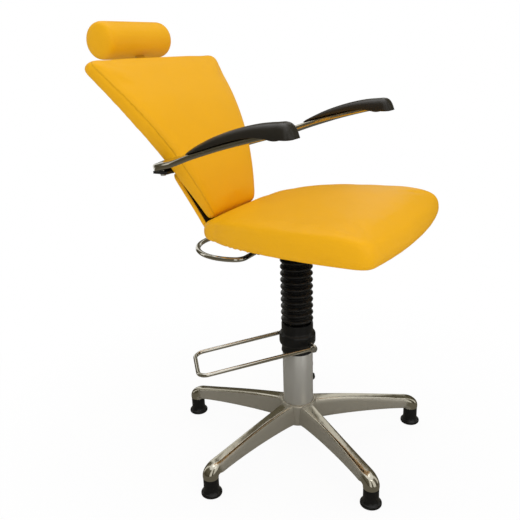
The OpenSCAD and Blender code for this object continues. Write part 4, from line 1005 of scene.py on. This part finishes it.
def arm_bar(side, name):
    """Bent flat bar: a rounded section, rolled by the form's angle, along the middle line."""
    path, form = arm_line(8)
    sections = []
    for roll, thick, wide in form:
        c, s = cos(radians(roll)), sin(radians(roll))
        q = rounded(ARM_W * wide, ARM_T * thick, ARM_T * .4, 5)
        sections.append(q @ [[c, -s], [s, c]])
    rings = sweep(path, np.array(sections)) * [side, 1, 1]
    made = skin("arm_" + name, rings, sharp=50)
    attribute(made, "polish", 1)
    dressed(made, "back", "polished_aluminium", "arm_bar_" + name)


HALF_PAD, HALF_SLOT = 25, 17.4


def arm_pad(side, name):
    """Pad on the bar: an arch between a low and a high line over the bar's middle, rolled with the
    bar, with a slot that the bar lies in. It grows from a thin tip, its skirt comes down beside
    the bar towards the front, and its round nose hangs over the bar's end. A row holds y, the
    share of the width, and the heights of the low line, the high line and the slot's roof."""
    low = ARM_T / 2 + .45
    rise = smooth([(102, .46, .8, 2.6), (96, .6, .8, 4.4), (88, .69, .7, 6.4), (64, .81, .3, 11),
                   (36, .9, .05, 15), (0, .97, 0, 17.8), (-30, 1, -.5, 18.8), (-60, 1, -4.5, 18),
                   (-85, 1, -12, 15.5), (-98, 1, -17.2, 13.6), (-107, 1, -19.2, 12.4),
                   (-115, 1, -19.6, 11.5)], 4)
    run = columns(rise, np.maximum(rise[:, 2], 0))
    wall = [[-116.4, 1, -19.6, 11.4, 0], [-116.8, 1, -19.6, 11.4, -19.6]]
    t = np.linspace(0, 1, 15)[1:]
    brow = curve([-117, 11.4], [-130, 10.6], [-137, -3], [-140.2, -17.4], t)
    chin = 1.6 * t ** 3 - 19.8
    nose = columns(brow[:, 0], 1 - .47 * ease(0, 1, t) ** 1.4, chin, brow[:, 1], chin)
    rows = np.vstack([run, wall, nose]) + [0, 0, low, low, low]
    path, form = arm_line(12)
    order = path[:, 1].argsort()
    line = columns(path, form[:, 0])[order]

    def along(y, column):
        return np.interp(y, line[:, 1], line[:, column])

    y, wide = rows[:, :1], rows[:, 1:2]
    x, z, roll = (along(y, k) for k in (0, 2, 3))
    stretch = np.hypot(4, along(y + 2, 2) - along(y - 2, 2)) / 4
    a = np.radians(np.linspace(0, 180, 37))
    c, s = np.cos(a), np.sin(a)
    arch = columns(np.sign(c) * np.abs(c) ** .62, .13 + .87 * s ** .86)
    foot = np.array([(.9, 0), (.96, .01), (.99, .05)])
    arch = np.vstack([foot, arch, foot[::-1] * [-1, 1]])
    across = arch[:, 0] * wide * HALF_PAD
    up = rows[:, 2:3] + (rows[:, 3:4] - rows[:, 2:3]) * arch[:, 1]
    slot = np.minimum(HALF_SLOT, wide * 20)
    across = np.hstack([across, -slot, -slot, slot, slot])
    up = np.hstack([up, rows[:, [2, 4, 4, 2]]]) * stretch
    c, s = np.cos(np.radians(roll)), np.sin(np.radians(roll))
    rings = np.stack([x + c * across + s * up, np.broadcast_to(y, across.shape),
                      z + c * up - s * across], -1)
    made = skin("arm_rest_" + name, rings * [side, 1, 1], sharp=42)
    dressed(made, "back", "black_vinyl", "arm_pad_" + name)


# Headrest

def roll_profile():
    """Radius over the length: slightly domed end discs, a soft edge and an almost straight side,
    all of it inside the cover's face by the slack."""
    corner = curve([33, 119], [44.4, 115.5], [45, 103], np.linspace(0, 1, 9))
    side = np.vstack([[(0.02, 122), (16, 121.8), (27, 120.6)], corner,
                      [(45, 80), (45, 55), (45, 28), (45, 0)]])
    side = np.vstack([side, side[-2::-1] * [1, -1]])
    return side - SLACK * columns(side[:, 0] > 1, np.sign(side[:, 1]))


def headrest_roll():
    """Padded roll, turned about the chair's cross direction."""
    rings = turned(lathe(roll_profile(), 96), move(0, 451, 1005) @ spin(90, "Y"))
    made = skin("headrest_pad", rings, sharp=0)
    puffed(made, lambda at: np.zeros(len(at)), voxel=4.0, pressure=3.0, cap=3.0)
    dressed(made, "headrest", "yellow_vinyl", "headrest_roll")


# Nodes of the frame that keep their shape get their finish and soft edges

KEPT = {
    "zinc_steel": "glide_studs lever_shaft lever_nuts seat_screws hinge_pin gas_pin back_screws "
                  "arm_bolts bracket_screws",
    "black_steel": "swivel_plate seat_rails ring_ears gas_cylinder gas_anchor back_frame "
                   "headrest_bracket",
    "plywood": "seat_board back_board headrest_core", "black_plastic": "hub_cap clamp_knob",
    "chrome_steel": "piston_rod gas_rod headrest_bar", "satin_steel": "pump_cylinder",
    "bearing_plastic": "thrust_washer ring_bushes", "polished_aluminium": "pump_head",
}


def kept(name, material):
    node = nodes[name]
    node.data.materials.clear()
    node.data.materials.append(material)
    node.modifiers.new("Weld", "WELD").merge_threshold = 0.01 * MM
    edge = node.modifiers.new("Bevel", "BEVEL")
    edge.width, edge.segments, edge.limit_method = 0.5 * MM, 2, "ANGLE"
    edge.angle_limit = radians(38)


# Studio

FOCAL_PX, PHOTO_PX, SENSOR = 632.1, 520, 36.0
HORIZON = 2600


def camera():
    """Camera solved from the photograph: its place, its right, up and view directions."""
    place = Vector((-1289.9, -650.1, 974.0)) * MM
    right, up = Vector((0.4932, -0.8693, -0.0331)), Vector((0.2909, 0.1290, 0.9481))
    ahead = Vector((0.8198, 0.4772, -0.3165))
    turn = Matrix((right, up, -ahead)).transposed().to_4x4()
    data = bpy.data.cameras.new("camera")
    data.sensor_width, data.lens = SENSOR, FOCAL_PX / PHOTO_PX * SENSOR
    data.clip_start, data.clip_end = 0.05, 60
    scene.camera = linked("camera", data)
    scene.camera.matrix_world = Matrix.Translation(place) @ turn


def lamp(name, place, target, size, power):
    data = bpy.data.lights.new(name, "AREA")
    data.shape, data.size, data.energy = "DISK", size, power
    made = linked(name, data)
    made.location = place
    made.rotation_euler = (Vector(target) - Vector(place)).to_track_quat("-Z", "Y").to_euler()


def seen_directly(tree):
    """1 for camera, glossy and transmission rays."""
    path = add(tree, "LightPath")
    both = calc(tree, "MAXIMUM", path["Is Camera Ray"], path["Is Glossy Ray"])
    return calc(tree, "MAXIMUM", both, path["Is Transmission Ray"])


def world(level):
    """White to camera and reflections, and of a lower level as light."""
    scene.world = bpy.data.worlds.new("studio")
    scene.world.use_nodes = True
    tree = scene.world.node_tree
    inputs = {"Value": seen_directly(tree), "To Min": level, "To Max": 1.0}
    plug_in(tree, tree.nodes["Background"], {
        "Color": (1, 1, 1, 1), "Strength": add(tree, "MapRange", inputs)["Result"]})


def glow(tree, tone):
    return add(tree, "Emission", {"Color": tone, "Strength": 1.0})[0]


def length_of(tree, at):
    return add(tree, "VectorMath", {0: at}, operation="LENGTH")["Value"]


def backdrop(name, profile, parts, look, **sockets):
    """Turned studio surface that isn't part of the chair. look(tree, at, shader) gives what goes
    to its material's output."""
    points, faces = skin_mesh(lathe(profile, 96))
    made = piece(name, points, faces[:parts], 0)
    tree, shader, at = finish(name, **sockets)
    surface = look(tree, at, shader.outputs[0])
    plug_in(tree, tree.nodes["Material Output"], {"Surface": surface})
    made.data.materials.append(LOOKS[name])
    return made


def floor():
    """Round white floor: lit white under the chair, so that it takes the shadow, and plain white
    further out."""
    def look(tree, at, shader):
        share = ramp(tree, length_of(tree, at), 0.45, 1.1, 0.93, 1.0)
        share = calc(tree, "MULTIPLY", share, seen_directly(tree))
        return add(tree, "MixShader", {0: share, 1: shader, 2: glow(tree, (1, 1, 1, 1))})[0]

    profile = [(1000 * far, -0.3) for far in (0.01, 0.4, 0.8, 1.4, 2.4, 4, 7, 14)]
    mesh = backdrop("floor", profile, 2, look, Roughness=0.9, Specular_IOR_Level=0.1,
                    Base_Color=(0.92, 0.92, 0.92, 1)).data
    if mesh.polygons[0].normal.z < 0:
        mesh.flip_normals()


def mirrored(name, profile, look):
    """Studio surface that only reflections see, so that bright metal has something to mirror."""
    made = backdrop(name, profile, 1, look)
    made.visible_camera = made.visible_diffuse = False
    made.visible_shadow = made.visible_transmission = False


def reflection_wall():
    """Glowing band that only reflections see, painted reflections: dark, with bright upright strips
    at chosen angles and half widths.
    """
    def look(tree, at, shader):
        at = add(tree, "SeparateXYZ", {0: at})
        around = calc(tree, "ARCTAN2", at["Y"], at["X"])
        bright = 0.0
        for middle, width in ((100, 7), (204, 12), (250, 16), (305, 10), (12, 6), (58, 8)):
            off = calc(tree, "COSINE", calc(tree, "SUBTRACT", around, radians(middle)))
            edges = (cos(radians(width + soft)) for soft in (2, -2))
            bright = calc(tree, "MAXIMUM", bright, ramp(tree, off, *edges))
        low = ramp(tree, at["Z"], 0.0, 2.0)
        dark = blend_colour(tree, low, (0.07, 0.062, 0.042, 1), (0.135, 0.122, 0.085, 1))
        # The band glows though it is no lamp: painted reflections for the metal
        return glow(tree, blend_colour(tree, bright, dark, (0.85, 0.84, 0.80, 1)))

    mirrored("reflection_wall", [(HORIZON, z) for z in (-10, 500, 1200, 2000, 3400)], look)


def reflection_ground():
    """Glowing dark disc that only reflections see, a painted reflection of dark ground: it gets
    darker away from the chair.
    """
    def look(tree, at, shader):
        away = ramp(tree, length_of(tree, at), 0.3, 2.4)
        tones = (0.17, 0.158, 0.128, 1), (0.095, 0.082, 0.055, 1)
        # Painted reflection: the disc glows, and only reflections see it
        return glow(tree, blend_colour(tree, away, *tones))

    mirrored("reflection_ground", [(r, -0.1) for r in (1, 900, HORIZON - 10)], look)


# Everything in its order

def arms():
    for side, name in ((1, "left"), (-1, "right")):
        arm_bar(side, name)
        arm_pad(side, name)


camera()
world(0.74)
lamp("key", (-1.5, -2.6, 2.5), (0, 0, 0.6), size=2.4, power=29)
lamp("top", (0.4, 0.3, 3.2), (0, 0, 0.5), size=2.6, power=19)
lamp("side", (-2.9, 0.9, 1.3), (0, 0.1, 0.6), size=1.6, power=5)
for build in (floor, reflection_wall, reflection_ground, star_base, glides, column, hub_lip, plug, boot,
              bellows, sleeve_ring, pump_lever, seat_cushion, release_ring, back_cushion,
              back_panel, lower_shell, arms, headrest_roll):
    build()
for look, names in KEPT.items():
    for name in names.split():
        kept(name, LOOKS[look])

scene.view_settings.view_transform = "Standard"
